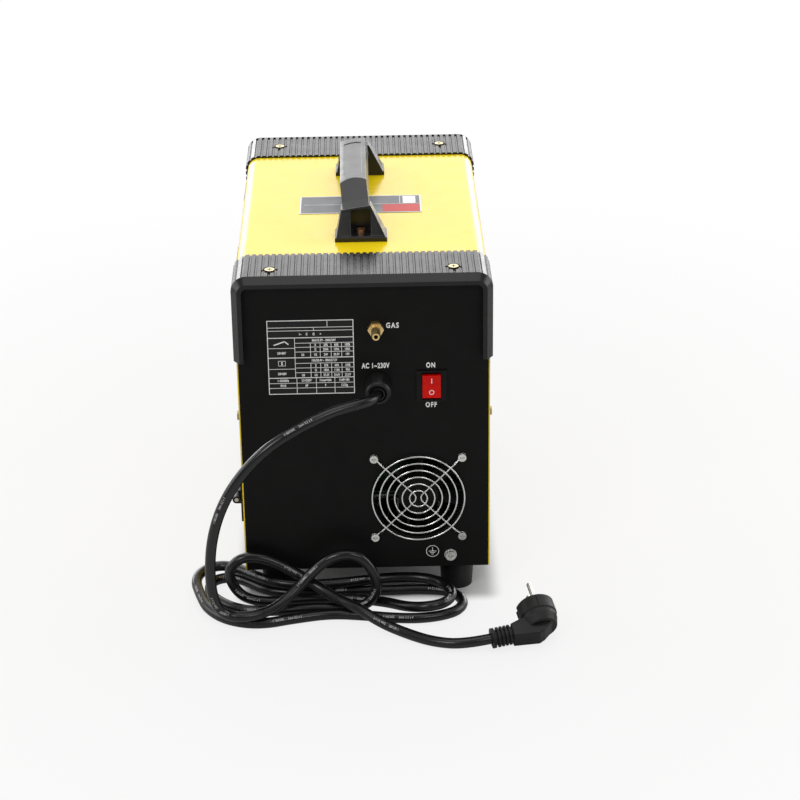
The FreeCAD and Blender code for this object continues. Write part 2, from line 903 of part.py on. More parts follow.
def make_hinges():
    """Two hinges: fixed leaves on the cover, straps on the door, and a pin through each."""
    leaves, straps, pins = [], [], []
    far = HALF_LENGTH - size.hinge_inset
    for name, start in (("rear", -far), ("front", far - size.hinge_length)):
        end = start + size.hinge_length
        knuckle = size.hinge_knuckle
        inner, outer = -HALF_WIDTH - size.leaf_thickness, -HALF_WIDTH
        bore = size.pin_radius + size.pin_play
        leaf = box(
            f"leaf_{name}",
            (inner, outer),
            (start, end),
            (size.pin_z - size.leaf_height, size.pin_z - size.leaf_gap),
        )
        fixed = [leaf]
        for side, y in (("a", start), ("b", end - knuckle)):
            fixed.append(
                rod(
                    f"knuckle_{name}_{side}",
                    "+Y",
                    (PIN_X, y, size.pin_z),
                    size.knuckle_radius,
                    knuckle,
                )
            )
            fixed.append(
                box(
                    f"web_{name}_{side}",
                    (PIN_X, inner + 1),
                    (y, y + knuckle),
                    (size.pin_z - size.knuckle_radius, size.pin_z - size.leaf_gap),
                )
            )
        pin_hole = rod(
            f"pin_hole_{name}",
            "+Y",
            (PIN_X, start - 1, size.pin_z),
            size.pin_radius,
            size.hinge_length + 2,
        )
        leaves.append(cut(f"hinge_leaf_{name}", fuse(f"leaf_whole_{name}", fixed), [pin_hole]))
        low, high = start + knuckle + size.knuckle_gap, end - knuckle - size.knuckle_gap
        strap = box(
            f"strap_{name}",
            (inner, outer),
            (start, end),
            (size.pin_z + size.leaf_gap, size.pin_z + size.leaf_height),
        )
        moving = rod(
            f"strap_knuckle_{name}",
            "+Y",
            (PIN_X, low, size.pin_z),
            size.knuckle_radius,
            high - low,
        )
        web = box(
            f"strap_web_{name}",
            (PIN_X, inner + 1),
            (low, high),
            (size.pin_z + size.leaf_gap, size.pin_z + size.knuckle_radius),
        )
        strap_hole = rod(
            f"strap_hole_{name}",
            "+Y",
            (PIN_X, start - 1, size.pin_z),
            bore,
            size.hinge_length + 2,
        )
        whole = fuse(f"strap_whole_{name}", [strap, moving, web])
        straps.append(cut(f"hinge_strap_{name}", whole, [strap_hole]))
        pins.append(
            rod(
                f"pin_{name}",
                "+Y",
                (PIN_X, start - 0.3, size.pin_z),
                size.pin_radius,
                size.hinge_length + 0.6,
            )
        )
    node(group("hinge_leaves", leaves), "hinge_leaves")
    node(group("hinge_straps", straps), "hinge_straps")
    node(group("hinge_pins", pins), "hinge_pins")


def make_centre_wall():
    """The upright sheet between the wire compartment and the electronics."""
    body = doc.addObject("PartDesign::Body", "centre_wall")
    sketch = add_sketch(body, "wall_outline", "YZ_Plane", WALL_FACE)
    top = INNER_TOP - size.cover_wall - 0.4
    outline(
        sketch,
        [
            (-INNER_Y, PAN_TOP),
            (INNER_Y, PAN_TOP),
            (INNER_Y, 166),
            (172, 166),
            (172, top),
            (-INNER_Y, top),
        ],
    )
    circle(sketch, (size.roll_y, ROLL_Z), 15)
    pad(body, sketch, size.wall_sheet)
    node(body, "centre_wall")


def make_handle():
    """The moulded arch handle: two flared feet and a crowned grip that leans to one side."""
    middle = float(size.handle_middle)
    half = float(size.handle_span) / 2
    height = float(size.handle_height)
    base = float(TOP)
    foot = float(size.handle_foot_length)
    thick = float(size.grip_thickness)
    grip = float(size.grip_length) / 2
    crown = float(size.grip_crown)
    width = float(size.grip_width)
    side = [
        (-half + 8, 2),
        (-half + 13, 30),
        (-half + 25, 33),
        (-grip, height),
        (grip, height),
        (half - 25, 33),
        (half - 13, 30),
        (half - 8, 2),
        (half - foot + 2, 2),
        (half - foot, 22),
        (grip - 8, height - thick),
        (-grip + 8, height - thick),
        (-half + foot, 22),
        (-half + foot - 2, 2),
    ]
    corners = [Vector(-width / 2, middle + y, h) for y, h in side]
    arch = Part.Face(Part.makePolygon(corners + corners[:1])).extrude(Vector(width, 0, 0))
    arch = arch.makeFillet(2.5, [e for e in arch.Edges if along(e, Vector(1, 0, 0))])
    arch = arch.common(crowned_bar(width, height, crown, 0))
    panel = Part.makeBox(width - 8, grip * 1.6, 10, Vector(-width / 2 + 4, middle - grip * 0.8, height - 6))
    arch = arch.cut(panel.cut(crowned_bar(width, height, crown, 0.5)))
    lean = Placement(Vector(0, 0, base), Rotation(Vector(0, 1, 0), -float(size.handle_lean)))
    arch.Placement = lean
    whole = arch
    for sign in (-1, 1):
        whole = whole.fuse(handle_foot(middle + half * sign, -sign, lean))
    for sign in (-1, 1):
        outer = middle + half * sign
        inward = -sign
        y_low = min(outer - inward, outer + inward * 21)
        well = Part.makeBox(19, 22, 23, Vector(-9.5, y_low, base + 5))
        well = well.makeFillet(2.5, [e for e in well.Edges if along(e, Vector(0, 1, 0))])
        drill = Part.makeCylinder(2.6, 10, Vector(0, outer + inward * 14, base - 1))
        whole = whole.cut(well.fuse(drill))
    node(solid("handle", whole.removeSplitter()), "handle")


def crowned_bar(width, height, crown, sunk):
    """A long bar along Y whose top is an arc, lowered by sunk."""
    half = width / 2
    top = height - sunk
    left, right = Vector(-half, -200, top - crown), Vector(half, -200, top - crown)
    low_left, low_right = Vector(-half, -200, -10), Vector(half, -200, -10)
    lines = [
        Part.Arc(left, Vector(0, -200, top), right).toShape(),
        Part.makeLine(right, low_right),
        Part.makeLine(low_right, low_left),
        Part.makeLine(low_left, left),
    ]
    return Part.Face(Part.Wire(lines)).extrude(Vector(0, 400, 0))


def handle_foot(outer, inward, lean):
    """A foot that narrows from its flange to the arch, its outer face sunk inside a border."""
    wide = float(size.handle_foot_width) / 2
    narrow = float(size.grip_width) / 2 + 1.5
    length = float(size.handle_foot_length)
    top = float(size.handle_foot_height)
    flange = Part.makeBox(2 * wide, length, 4, Vector(-wide, min(outer, outer + inward * length), 0))
    flange.translate(Vector(0, 0, float(TOP)))
    flare = foot_block(outer, inward, lean, (4, wide - 1.3, 1.2, length), (top, narrow, 12, length - 1))
    face = foot_block(
        outer, inward, lean, (5.5, wide - 3.8, -6, 2.4), (top - 2, narrow - 1.2, -6, 12)
    )
    return flange.fuse(flare).cut(face)


def foot_block(outer, inward, lean, low, high):
    """A tapered block between two levels of a foot; its top leans with the grip."""
    wires = []
    for level, half, near, far in (low, high):
        corners = [
            Vector(-half, outer + inward * near, level),
            Vector(half, outer + inward * near, level),
            Vector(half, outer + inward * far, level),
            Vector(-half, outer + inward * far, level),
        ]
        upright = Placement(Vector(0, 0, float(TOP)), Rotation())
        where = lean if level > 10 else upright
        corners = [where.multVec(corner) for corner in corners]
        wires.append(Part.makePolygon(corners + corners[:1]))
    return Part.makeLoft(wires, True, True)


def make_case_screws():
    """Screws of the trims and of the case sides, and the two in the handle's feet."""
    screws = []
    for sx in (-1, 1):
        for name, y in (("rear", REAR_SCREW_Y), ("front", FRONT_SCREW_Y)):
            base = (size.trim_screw_x * sx, y, TOP + 0.6)
            screws.append(screw(f"trim_screw_{name}_{sx}", "+Z", base, 4.6, 2.6, 2.5, 12))
        direction = "+X" if sx > 0 else "-X"
        for sy in (-1, 1):
            y = (HALF_LENGTH - size.side_screw_inset) * sy
            base = (HALF_WIDTH * sx, y, size.side_screw_z)
            screws.append(screw(f"side_screw_{sx}_{sy}", direction, base, 4.4, 2.4, 2.5, 10))
    node(group("case_screws", screws), "case_screws")
    pair = []
    for sy in (-1, 1):
        y = size.handle_middle + (size.handle_span / 2 - 14) * sy
        pair.append(screw(f"handle_screw_{sy}", "+Z", (0, y, TOP + 5), 4.6, 3, 2.5, 14))
    node(group("handle_screws", pair), "handle_screws")


def make_feet():
    """Four tapered rubber feet and the screws that hold them under the pan."""
    feet, screws = [], []
    for sx in (-1, 1):
        for sy in (-1, 1):
            x, y = size.foot_x * sx, (HALF_LENGTH - size.foot_inset) * sy
            name = f"{sx}_{sy}"
            rubber = cone(
                f"foot_{name}",
                "-Z",
                (x, y, LOW),
                size.foot_top_radius,
                size.foot_low_radius,
                size.foot_height,
            )
            bottom = size.foot_height - 8
            well = rod(f"foot_well_{name}", "+Z", (x, y, -1), 6, bottom + 1)
            drill = rod(f"foot_drill_{name}", "+Z", (x, y, bottom - 1), 2.6, 12)
            feet.append(cut(f"rubber_{name}", rubber, [well, drill]))
            base = (x, y, bottom)
            screws.append(screw(f"foot_screw_{name}", "-Z", base, 4.8, 2.8, 2.5, 16))
    node(group("rubber_feet", feet), "rubber_feet")
    node(group("foot_screws", screws), "foot_screws")


def make_labels():
    """The rating plate on the rear and the label under the handle."""
    y = -HALF_LENGTH
    node(
        box(
            "rating_plate",
            (size.plate_x - size.plate_width / 2, size.plate_x + size.plate_width / 2),
            (y - size.label_thickness, y),
            (size.plate_z - size.plate_height / 2, size.plate_z + size.plate_height / 2),
        ),
        "rating_plate",
    )
    node(
        box(
            "top_sticker",
            (-size.sticker_width / 2, size.sticker_width / 2),
            (size.sticker_y - size.sticker_length / 2, size.sticker_y + size.sticker_length / 2),
            (TOP, TOP + size.label_thickness),
        ),
        "top_sticker",
    )


def hexagon(name, direction, base, flats, length):
    """A hexagonal prism."""
    prism = doc.addObject("Part::Prism", name)
    prism.Polygon = 6
    bind(prism, "Circumradius", flats / math.sqrt(3))
    bind(prism, "Height", length)
    return place(prism, base, DIRECTIONS[direction])


def make_gas_inlet():
    """A brass hose barb on a hexagon, screwed through the panel into the gas valve."""
    x, y, z = size.gas_x, -HALF_LENGTH, size.gas_z
    pieces = [
        hexagon("gas_hex", "-Y", (x, y, z), 13, 7),
        rod("gas_collar", "-Y", (x, y - 7, z), 4.6, 2),
        rod("gas_stem", "-Y", (x, y - 8, z), 3.3, 15),
        rod("gas_thread", "+Y", (x, y - 1, z), 4.9, size.panel_wall + 7),
    ]
    for i in range(3):
        pieces.append(cone(f"gas_barb_{i}", "-Y", (x, y - 10 - i * 4.3, z), 4.3, 3.3, 4))
    bore = rod("gas_bore", "-Y", (x, y + 12, z), 2, 40)
    node(cut("gas_inlet", fuse("gas_whole", pieces), [bore]), "gas_inlet")


def make_gland():
    """The cord's gland: a body and a domed nut outside, with a tapered sleeve out of its mouth."""
    x, y, z = size.gland_x, -HALF_LENGTH, size.gland_z
    nut = size.gland_length - 8
    front = size.gland_length
    pieces = [
        cone("gland_body", "-Y", (x, y, z), size.gland_radius, size.gland_nut_radius - 1, nut + 1),
        rod("gland_nut", "-Y", (x, y - nut, z), size.gland_nut_radius, 6),
        cone(
            "gland_dome", "-Y", (x, y - front + 2, z), size.gland_nut_radius,
            size.gland_nut_radius - 1.6, 2,
        ),
        rod("gland_thread", "+Y", (x, y - 1, z), 8.9, size.panel_wall + 8),
        hexagon("gland_lock", "+Y", (x, -INNER_Y, z), 22, 4),
    ]
    mouth = cone("gland_mouth", "-Y", (x, y - front + 4, z), 6.6, 8.2, 5)
    shell = cut("gland_shell", fuse("gland_outside", pieces), [mouth])
    sleeve = cone("gland_sleeve", "-Y", (x, y - front + 5, z), 7.2, 6, 6)
    bore = rod("gland_bore", "-Y", (x, y + 12, z), size.cord_diameter / 2, 60)
    node(cut("mains_gland", fuse("gland_whole", [shell, sleeve]), [bore]), "mains_gland")


def make_switch():
    """The mains switch: a framed housing in the panel and a rocker that tips about its pins."""
    x, y, z = size.switch_x, -HALF_LENGTH, size.switch_z
    half_w, half_h = size.rocker_width / 2 + 0.3, size.rocker_height / 2 + 1.4
    bezel = box(
        "switch_bezel",
        (x - size.bezel_width / 2, x + size.bezel_width / 2),
        (y - 2, y),
        (z - size.bezel_height / 2, z + size.bezel_height / 2),
    )
    body = box(
        "switch_body",
        (x - size.bezel_width / 2 + 2, x + size.bezel_width / 2 - 2),
        (y, y + 26),
        (z - size.bezel_height / 2 + 2, z + size.bezel_height / 2 - 2),
    )
    opening = box(
        "switch_opening", (x - half_w, x + half_w), (y - 3, y + 12), (z - half_h, z + half_h)
    )
    axle = rod("switch_axle_hole", "+X", (x - half_w - 2, y + 1, z), 1.56, half_w * 2 + 4)
    node(
        cut("switch_housing", fuse("switch_whole", [bezel, body]), [opening, axle]),
        "switch_housing",
    )
    rocker = doc.addObject("PartDesign::Body", "rocker_blank")
    sketch = add_sketch(rocker, "rocker_profile", "YZ_Plane", x - size.rocker_width / 2)
    reach = size.rocker_height / 2
    rise = reach * math.tan(math.radians(float(size.rocker_tilt)))
    face = y - 2
    outline(
        sketch,
        [
            (face, z - reach),
            (y + 3, z - reach + 1.5),
            (y + 7, z - 7.5),
            (y + 7, z + 7.5),
            (y + 3, z + reach - 1),
            (face - rise, z + reach),
            (face, z),
        ],
    )
    pad(rocker, sketch, size.rocker_width)
    pin = rod("rocker_pin", "+X", (x - half_w - 1.5, y + 1, z), 1.5, half_w * 2 + 3)
    node(fuse("switch_rocker", [rocker, pin]), "switch_rocker")


def make_fan():
    """The fan behind its wire guard."""
    x, z = size.fan_x, size.fan_z
    y = -INNER_Y
    half = size.fan_screw_pitch / 2 + size.fan_rim
    frame = box("fan_block", (x - half, x + half), (y, y + size.fan_depth), (z - half, z + half))
    tools = [rod("fan_duct", "+Y", (x, y - 1, z), half - 2, size.fan_depth + 2)]
    pitch = size.fan_screw_pitch / 2
    for sx in (-1, 1):
        for sz in (-1, 1):
            tools.append(
                rod(f"fan_drill_{sx}_{sz}", "+Y", (x + pitch * sx, y - 1, z + pitch * sz), 2.1, 30)
            )
    ring = cut("fan_ring", frame, tools)
    back = y + size.fan_depth - 3
    spider = [
        box("fan_strut_a", (x - half + 1, x + half - 1), (back, back + 3), (z - 2, z + 2)),
        box("fan_strut_b", (x - 2, x + 2), (back, back + 3), (z - half + 1, z + half - 1)),
        rod("fan_boss", "+Y", (x, back - 2, z), 18, 5),
    ]
    bearing = rod("fan_bearing", "+Y", (x, back - 3, z), 2 + size.shaft_play, 7)
    node(cut("fan_frame", fuse("fan_frame_whole", [ring] + spider), [bearing]), "fan_frame")
    hub = rod("fan_hub", "+Y", (x, y + 2, z), 19, size.fan_depth - 8)
    shaft = rod("fan_shaft", "+Y", (x, y + 10, z), 2, size.fan_depth - 10)
    blades = []
    count = 7
    for i in range(count):
        blade = Part.makeBox(1.8, size.fan_depth - 11, 25.5, Vector(-0.9, -7, 17.5))
        blade.rotate(Vector(), Vector(0, 0, 1), 38)
        blade.rotate(Vector(), Vector(0, 1, 0), 360 * i / count)
        blades.append(
            solid(f"fan_blade_{i}", blade, Placement(Vector(x, y + 11, z), Rotation()))
        )
    node(fuse("fan_rotor", [hub, shaft] + blades), "fan_rotor")


def wire_tube(points, radius, bend):
    """A round wire along straight runs joined by tangent arcs of one radius."""
    edges = []
    start = points[0]
    for before, corner, after in zip(points, points[1:], points[2:]):
        arriving = (corner - before).normalize()
        leaving = (after - corner).normalize()
        turn = arriving.getAngle(leaving)
        back = bend * math.tan(turn / 2)
        first, last = corner - arriving * back, corner + leaving * back
        towards = (leaving - arriving).normalize()
        middle = corner + towards * (bend / math.cos(turn / 2) - bend)
        edges.append(Part.makeLine(start, first))
        edges.append(Part.Arc(first, middle, last).toShape())
        start = last
    edges.append(Part.makeLine(start, points[-1]))
    path = Part.Wire(edges)
    section = Part.Wire(Part.makeCircle(radius, points[0], points[1] - points[0]))
    return path.makePipeShell([section], True, True)


def make_fan_guard():
    """Six wire rings on two bent wires, with an eye under each corner screw."""
    wire = float(size.guard_wire) / 2
    x, z = float(size.fan_x), float(size.fan_z)
    pitch = float(size.fan_screw_pitch) / 2
    face = -float(HALF_LENGTH)
    ring_y = face - float(size.guard_rise)
    spoke_y = ring_y + wire * 1.7
    eye_radius = 3.2
    shapes = []
    for i in range(int(size.guard_rings)):
        radius = float(size.guard_ring - size.guard_step * i)
        shapes.append(
            Part.makeTorus(radius, wire, Vector(x, ring_y, z), Vector(0, 1, 0))
        )
    eye_y = face - wire
    for sx in (-1, 1):
        ends = []
        for sz in (-1, 1):
            eye = Vector(x + pitch * sx, eye_y, z + pitch * sz)
            shapes.append(Part.makeTorus(eye_radius, wire, eye, Vector(0, 1, 0)))
            inward = Vector(-sx, 0, -sz).normalize()
            edge = eye_radius + wire
            ends.append((eye + inward * edge, eye + inward * (edge + 6)))
        lift = Vector(0, spoke_y - eye_y, 0)
        points = [
            ends[0][0],
            ends[0][1] + lift,
            Vector(x, spoke_y, z),
            ends[1][1] + lift,
            ends[1][0],
        ]
        shapes.append(wire_tube(points, wire, float(size.guard_bend)))
    whole = shapes[0].multiFuse(shapes[1:])
    node(solid("fan_guard", whole), "fan_guard")
    screws = []
    for sx in (-1, 1):
        for sz in (-1, 1):
            base = (
                size.fan_x + size.fan_screw_pitch / 2 * sx,
                -HALF_LENGTH - size.guard_wire,
                size.fan_z + size.fan_screw_pitch / 2 * sz,
            )
            screws.append(screw(f"fan_screw_{sx}_{sz}", "-Y", base, 3.9, 2.2, 1.95, 30))
    node(group("fan_screws", screws), "fan_screws")


def make_earth_bolt():
    """The protective earth bolt with its washer."""
    x, y, z = size.earth_x, -HALF_LENGTH, size.earth_z
    washer = rod("earth_washer", "-Y", (x, y, z), 5.9, 1.2)
    head = screw("earth_screw", "-Y", (x, y - 1.2, z), 4.8, 3.4, 2.5, 14)
    nut = hexagon("earth_nut", "+Y", (x, -INNER_Y, z), 8, 4)
    node(fuse("earth_bolt", [washer, head, nut]), "earth_bolt")


def make_electronics():
    """What the right-hand compartment holds: heat sink, boards, transformer and choke."""
    low = PAN_TOP
    right = INNER_X - size.parts_gap
    fins = []
    sink_x = (right - size.sink_width, right)
    sink_y = (-HALF_LENGTH + 43, -HALF_LENGTH + 43 + size.sink_length)
    sink_top = low + size.sink_height
    base = size.sink_height / 9
    fins.append(box("sink_base", sink_x, sink_y, (sink_top - base, sink_top)))
    for i in range(11):
        start = sink_x[0] + (size.sink_width - 2) / 10 * i
        fins.append(box(f"sink_fin_{i}", (start, start + 2), sink_y, (low, sink_top - base)))
    node(fuse("heat_sink", fins), "heat_sink")

    board_low = sink_top + 6
    board_x = (sink_x[0] - 6, right + 6)
    board_y = (sink_y[0] - 8, sink_y[1] + 8)
    board = [box("power_pcb", board_x, board_y, (board_low, board_low + size.board_wall))]
    for i in range(4):
        y = sink_y[0] + size.sink_length / 7 + size.sink_length / 4.4 * i
        chip_x = (sink_x[0] + 12, right - 12)
        board.append(
            box(f"power_chip_{i}", chip_x, (y - 8, y + 8), (sink_top, board_low + 0.5))
        )
    for i in range(3):
        base = (right - 22, sink_y[0] + 32 + size.sink_length * 0.3 * i, board_low + 1)
        board.append(rod(f"power_can_{i}", "+Z", base, size.can_radius, size.can_height))
    coil_x = (sink_x[0] + 8, sink_x[0] + 8 + size.coil_size)
    coil_y = (sink_y[0] + 10, sink_y[0] + 10 + size.coil_size)
    board.append(box("power_coil", coil_x, coil_y, (board_low + 1, board_low + 32)))
    relay_y = (coil_y[1] + 22, coil_y[1] + 52)
    relay_x = (coil_x[0], coil_x[0] + 32)
    board.append(box("power_relay", relay_x, relay_y, (board_low + 1, board_low + 24)))
    node(fuse("power_board", board), "power_board")

    x, y = right - size.core_width / 2 - 8, sink_y[1] + size.core_length / 2 + 24
    core = box(
        "core_block",
        (x - size.core_width / 2, x + size.core_width / 2),
        (y - size.core_length / 2, y + size.core_length / 2),
        (low, low + size.core_length),
    )
    windows = []
    window = size.core_length * 0.6
    for sx in (-1, 1):
        spot = x + size.core_width * 0.216 * sx
        windows.append(
            box(
                f"core_window_{sx}",
                (spot - 7, spot + 7),
                (y - size.core_length / 2 - 1, y + size.core_length / 2 + 1),
                (low + 12, low + 12 + window),
            )
        )
    winding = box(
        "core_winding",
        (x - 21, x + 21),
        (y - size.core_length / 2 - 6, y + size.core_length / 2 + 6),
        (low + 13, low + 11 + window),
    )
    node(fuse("transformer", [cut("core", core, windows), winding]), "transformer")

    radius = size.choke_radius
    ring_x, ring_y = right - radius - 6, y + size.core_length / 2 + 72
    choke = rod("choke_ring", "+Y", (ring_x, ring_y, low + radius), radius, radius + 2)
    eye = rod("choke_eye", "+Y", (ring_x, ring_y - 1, low + radius), radius * 0.4, radius + 4)
    node(cut("reactor", choke, [eye]), "reactor")


def make_control_board():
    """The board behind the front panel, with its potentiometers and key switches."""
    y = INNER_Y
    back = y - 14
    half_w = size.fascia_width / 2 - 1
    low, high = size.fascia_z - size.fascia_height / 2 + 4, size.fascia_z + size.fascia_height / 2 - 7
    pieces = [box("control_pcb", (-half_w, half_w), (back - 1.6, back), (low, high))]
    bores = []
    for i, x in enumerate(knob_places()):
        pieces.append(rod(f"pot_{i}", "+Y", (x, back - 0.5, size.knob_z), 8.5, 14.5))
        bores.append(
            rod(f"pot_bore_{i}", "+Y", (x, back + 2, size.knob_z), 3 + size.shaft_play, 20)
        )
    for sx in (-1, 1):
        base = (size.button_x * sx, back - 0.5, size.button_z)
        pieces.append(rod(f"key_{sx}", "+Y", base, 4, 1.5))
        x = size.display_x * sx
        pieces.append(
            box(
                f"digits_{sx}",
                (x - size.display_width / 2 + 3, x + size.display_width / 2 - 3),
                (back - 0.5, y),
                (
                    size.display_z - size.display_height / 2 + 3,
                    size.display_z + size.display_height / 2 - 3,
                ),
            )
        )
    node(cut("control_board", fuse("control_whole", pieces), bores), "control_board")


def make_fascia():
    """The control plate on the front panel, with two sunk display windows."""
    y = HALF_LENGTH
    half_w, half_h = size.fascia_width / 2, size.fascia_height / 2
    body = doc.addObject("PartDesign::Body", "fascia")
    sketch = add_sketch(body, "fascia_outline", "XZ_Plane", -y)
    rectangle(sketch, (-half_w, half_w), (size.fascia_z - half_h, size.fascia_z + half_h))
    for x in knob_places():
        circle(sketch, (x, size.knob_z), 3.6)
    for sx in (-1, 1):
        circle(sketch, (size.button_x * sx, size.button_z), size.button_radius + 0.4)
    pad(body, sketch, size.fascia_wall, True)
    windows = add_sketch(body, "display_windows", "XZ_Plane", -(y + size.fascia_wall))
    for sx in (-1, 1):
        x = size.display_x * sx
        rectangle(
            windows,
            (x - size.display_width / 2, x + size.display_width / 2),
            (
                size.display_z - size.display_height / 2,
                size.display_z + size.display_height / 2,
            ),
        )
    pocket(body, windows, size.fascia_wall / 2, True)
    fillet(
        body,
        4,
        lambda edge: along(edge, Vector(0, 1, 0)) and abs(edge.CenterOfMass.x) > half_w - 1,
    )
    node(body, "fascia")


def make_controls():
    """Three knobs on their shafts and two push buttons."""
    start = HALF_LENGTH + size.fascia_wall + 0.4
    for name, x in zip(("left", "middle", "right"), knob_places()):
        skirt = cone(
            f"knob_skirt_{name}",
            "+Y",
            (x, start, size.knob_z),
            size.knob_radius,
            size.knob_radius - 1.5,
            4,
        )
        cap = cone(
            f"knob_cap_{name}",
            "+Y",
            (x, start + 3.9, size.knob_z),
            size.knob_radius - 3,
            size.knob_radius - 3.6,
            size.knob_length - 3.9,
        )
        shaft = rod(
            f"knob_shaft_{name}", "+Y", (x, INNER_Y - 10, size.knob_z), 3, start + 12 - INNER_Y
        )
        mark = box(
            f"knob_mark_{name}",
            (x - 0.8, x + 0.8),
            (start + size.knob_length - 2, start + size.knob_length + 0.4),
            (size.knob_z + 1, size.knob_z + size.knob_radius - 3.8),
        )
        node(fuse(f"knob_{name}", [skirt, cap, shaft, mark]), f"knob_{name}")
    back = INNER_Y - 14 + 1 + size.button_travel + 0.5
    for label, sx in (("mode_button", -1), ("gas_button", 1)):
        front = HALF_LENGTH + size.fascia_wall + 3
        node(
            rod(
                label,
                "+Y",
                (size.button_x * sx, back, size.button_z),
                size.button_radius,
                front - back,
            ),
            label,
        )


def make_sockets():
    """The torch connector and the two welding current sockets."""
    y = HALF_LENGTH
    x, z = size.wire_x, size.wire_z
    plate = box("euro_plate", (x - 28, x + 28), (y, y + 5), (z - 28, z + 28))
    collar = rod("euro_collar", "+Y", (x, y + 4, z), 22, 18)
    hollow = rod("euro_hollow", "+Y", (x, y + 7, z), 18.5, 20)
    bore = rod("euro_through", "+Y", (x, y - 1, z), 14, 12)
    node(cut("euro_flange", fuse("euro_whole", [plate, collar]), [hollow, bore]), "euro_flange")
    core = rod("euro_body", "+Y", (x, y - 33, z), 14, 48)
    nipple = rod("euro_nipple", "+Z", (x, y - 26, z + 12), 2.7, 14)
    socket = rod("euro_socket_bore", "+Y", (x, y - 15, z), size.euro_bore, 40)
    liner = rod("euro_liner", "+Y", (x, y - 40, z), 2.2, 30)
    node(cut("euro_core", fuse("euro_brass", [core, nipple]), [socket, liner]), "euro_core")

    bodies, inserts = [], []
    for i, x in enumerate(dinse_places()):
        z = size.dinse_z
        flange = rod(f"dinse_flange_{i}", "+Y", (x, y, z), 21, 5)
        neck = rod(f"dinse_neck_{i}", "+Y", (x, y - 8, z), 12.9, 9)
        shroud = rod(f"dinse_shroud_{i}", "+Y", (x, y + 4, z), 17, 15)
        through = rod(f"dinse_through_{i}", "+Y", (x, y - 9, z), 11, 40)
        whole = fuse(f"dinse_whole_{i}", [flange, neck, shroud])
        bodies.append(cut(f"dinse_body_{i}", whole, [through]))
        brass = rod(f"dinse_brass_{i}", "+Y", (x, y - 14, z), 11, 30)
        stud = rod(f"dinse_stud_{i}", "+Y", (x, y - 24, z), 5, 11)
        seat = rod(f"dinse_seat_{i}", "+Y", (x, y - 8, z), size.dinse_bore, 40)
        inserts.append(cut(f"dinse_insert_{i}", fuse(f"dinse_metal_{i}", [brass, stud]), [seat]))
    node(group("dinse_bodies", bodies), "dinse_bodies")
    node(group("dinse_inserts", inserts), "dinse_inserts")


def make_gas_line():
    """The solenoid valve behind the inlet and the hose from it to the torch connector."""
    x, z = float(size.gas_x), float(size.gas_z)
    y = -float(INNER_Y)
    block = box("valve_block", (x - 14, x + 14), (y + 0.5, y + 34), (z - 13, z + 13))
    coil = rod("valve_coil", "+Z", (x, y + 17, z + 12), 12, 26)
    outlet = rod("valve_outlet", "+Y", (x, y + 33, z), 2.7, 12)
    port = rod("valve_port", "+Y", (x, y, z), 4.9, 8)
    valve = cut("valve_drilled", block, [port])
    node(fuse("gas_valve", [valve, coil, outlet]), "gas_valve")
    nipple = Vector(float(size.wire_x), float(HALF_LENGTH) - 26, float(size.wire_z) + 25)
    points = [
        Vector(x, y + 38, z),
        Vector(x, 90, z),
        Vector(x, nipple.y, 176),
        Vector(nipple.x, nipple.y, 176),
        nipple - Vector(0, 0, 5),
    ]
    tube = wire_tube(points, 4.5, 15)
    bore = wire_tube(points, 2.7, 15)
    node(solid("gas_hose", tube.cut(bore)), "gas_hose")


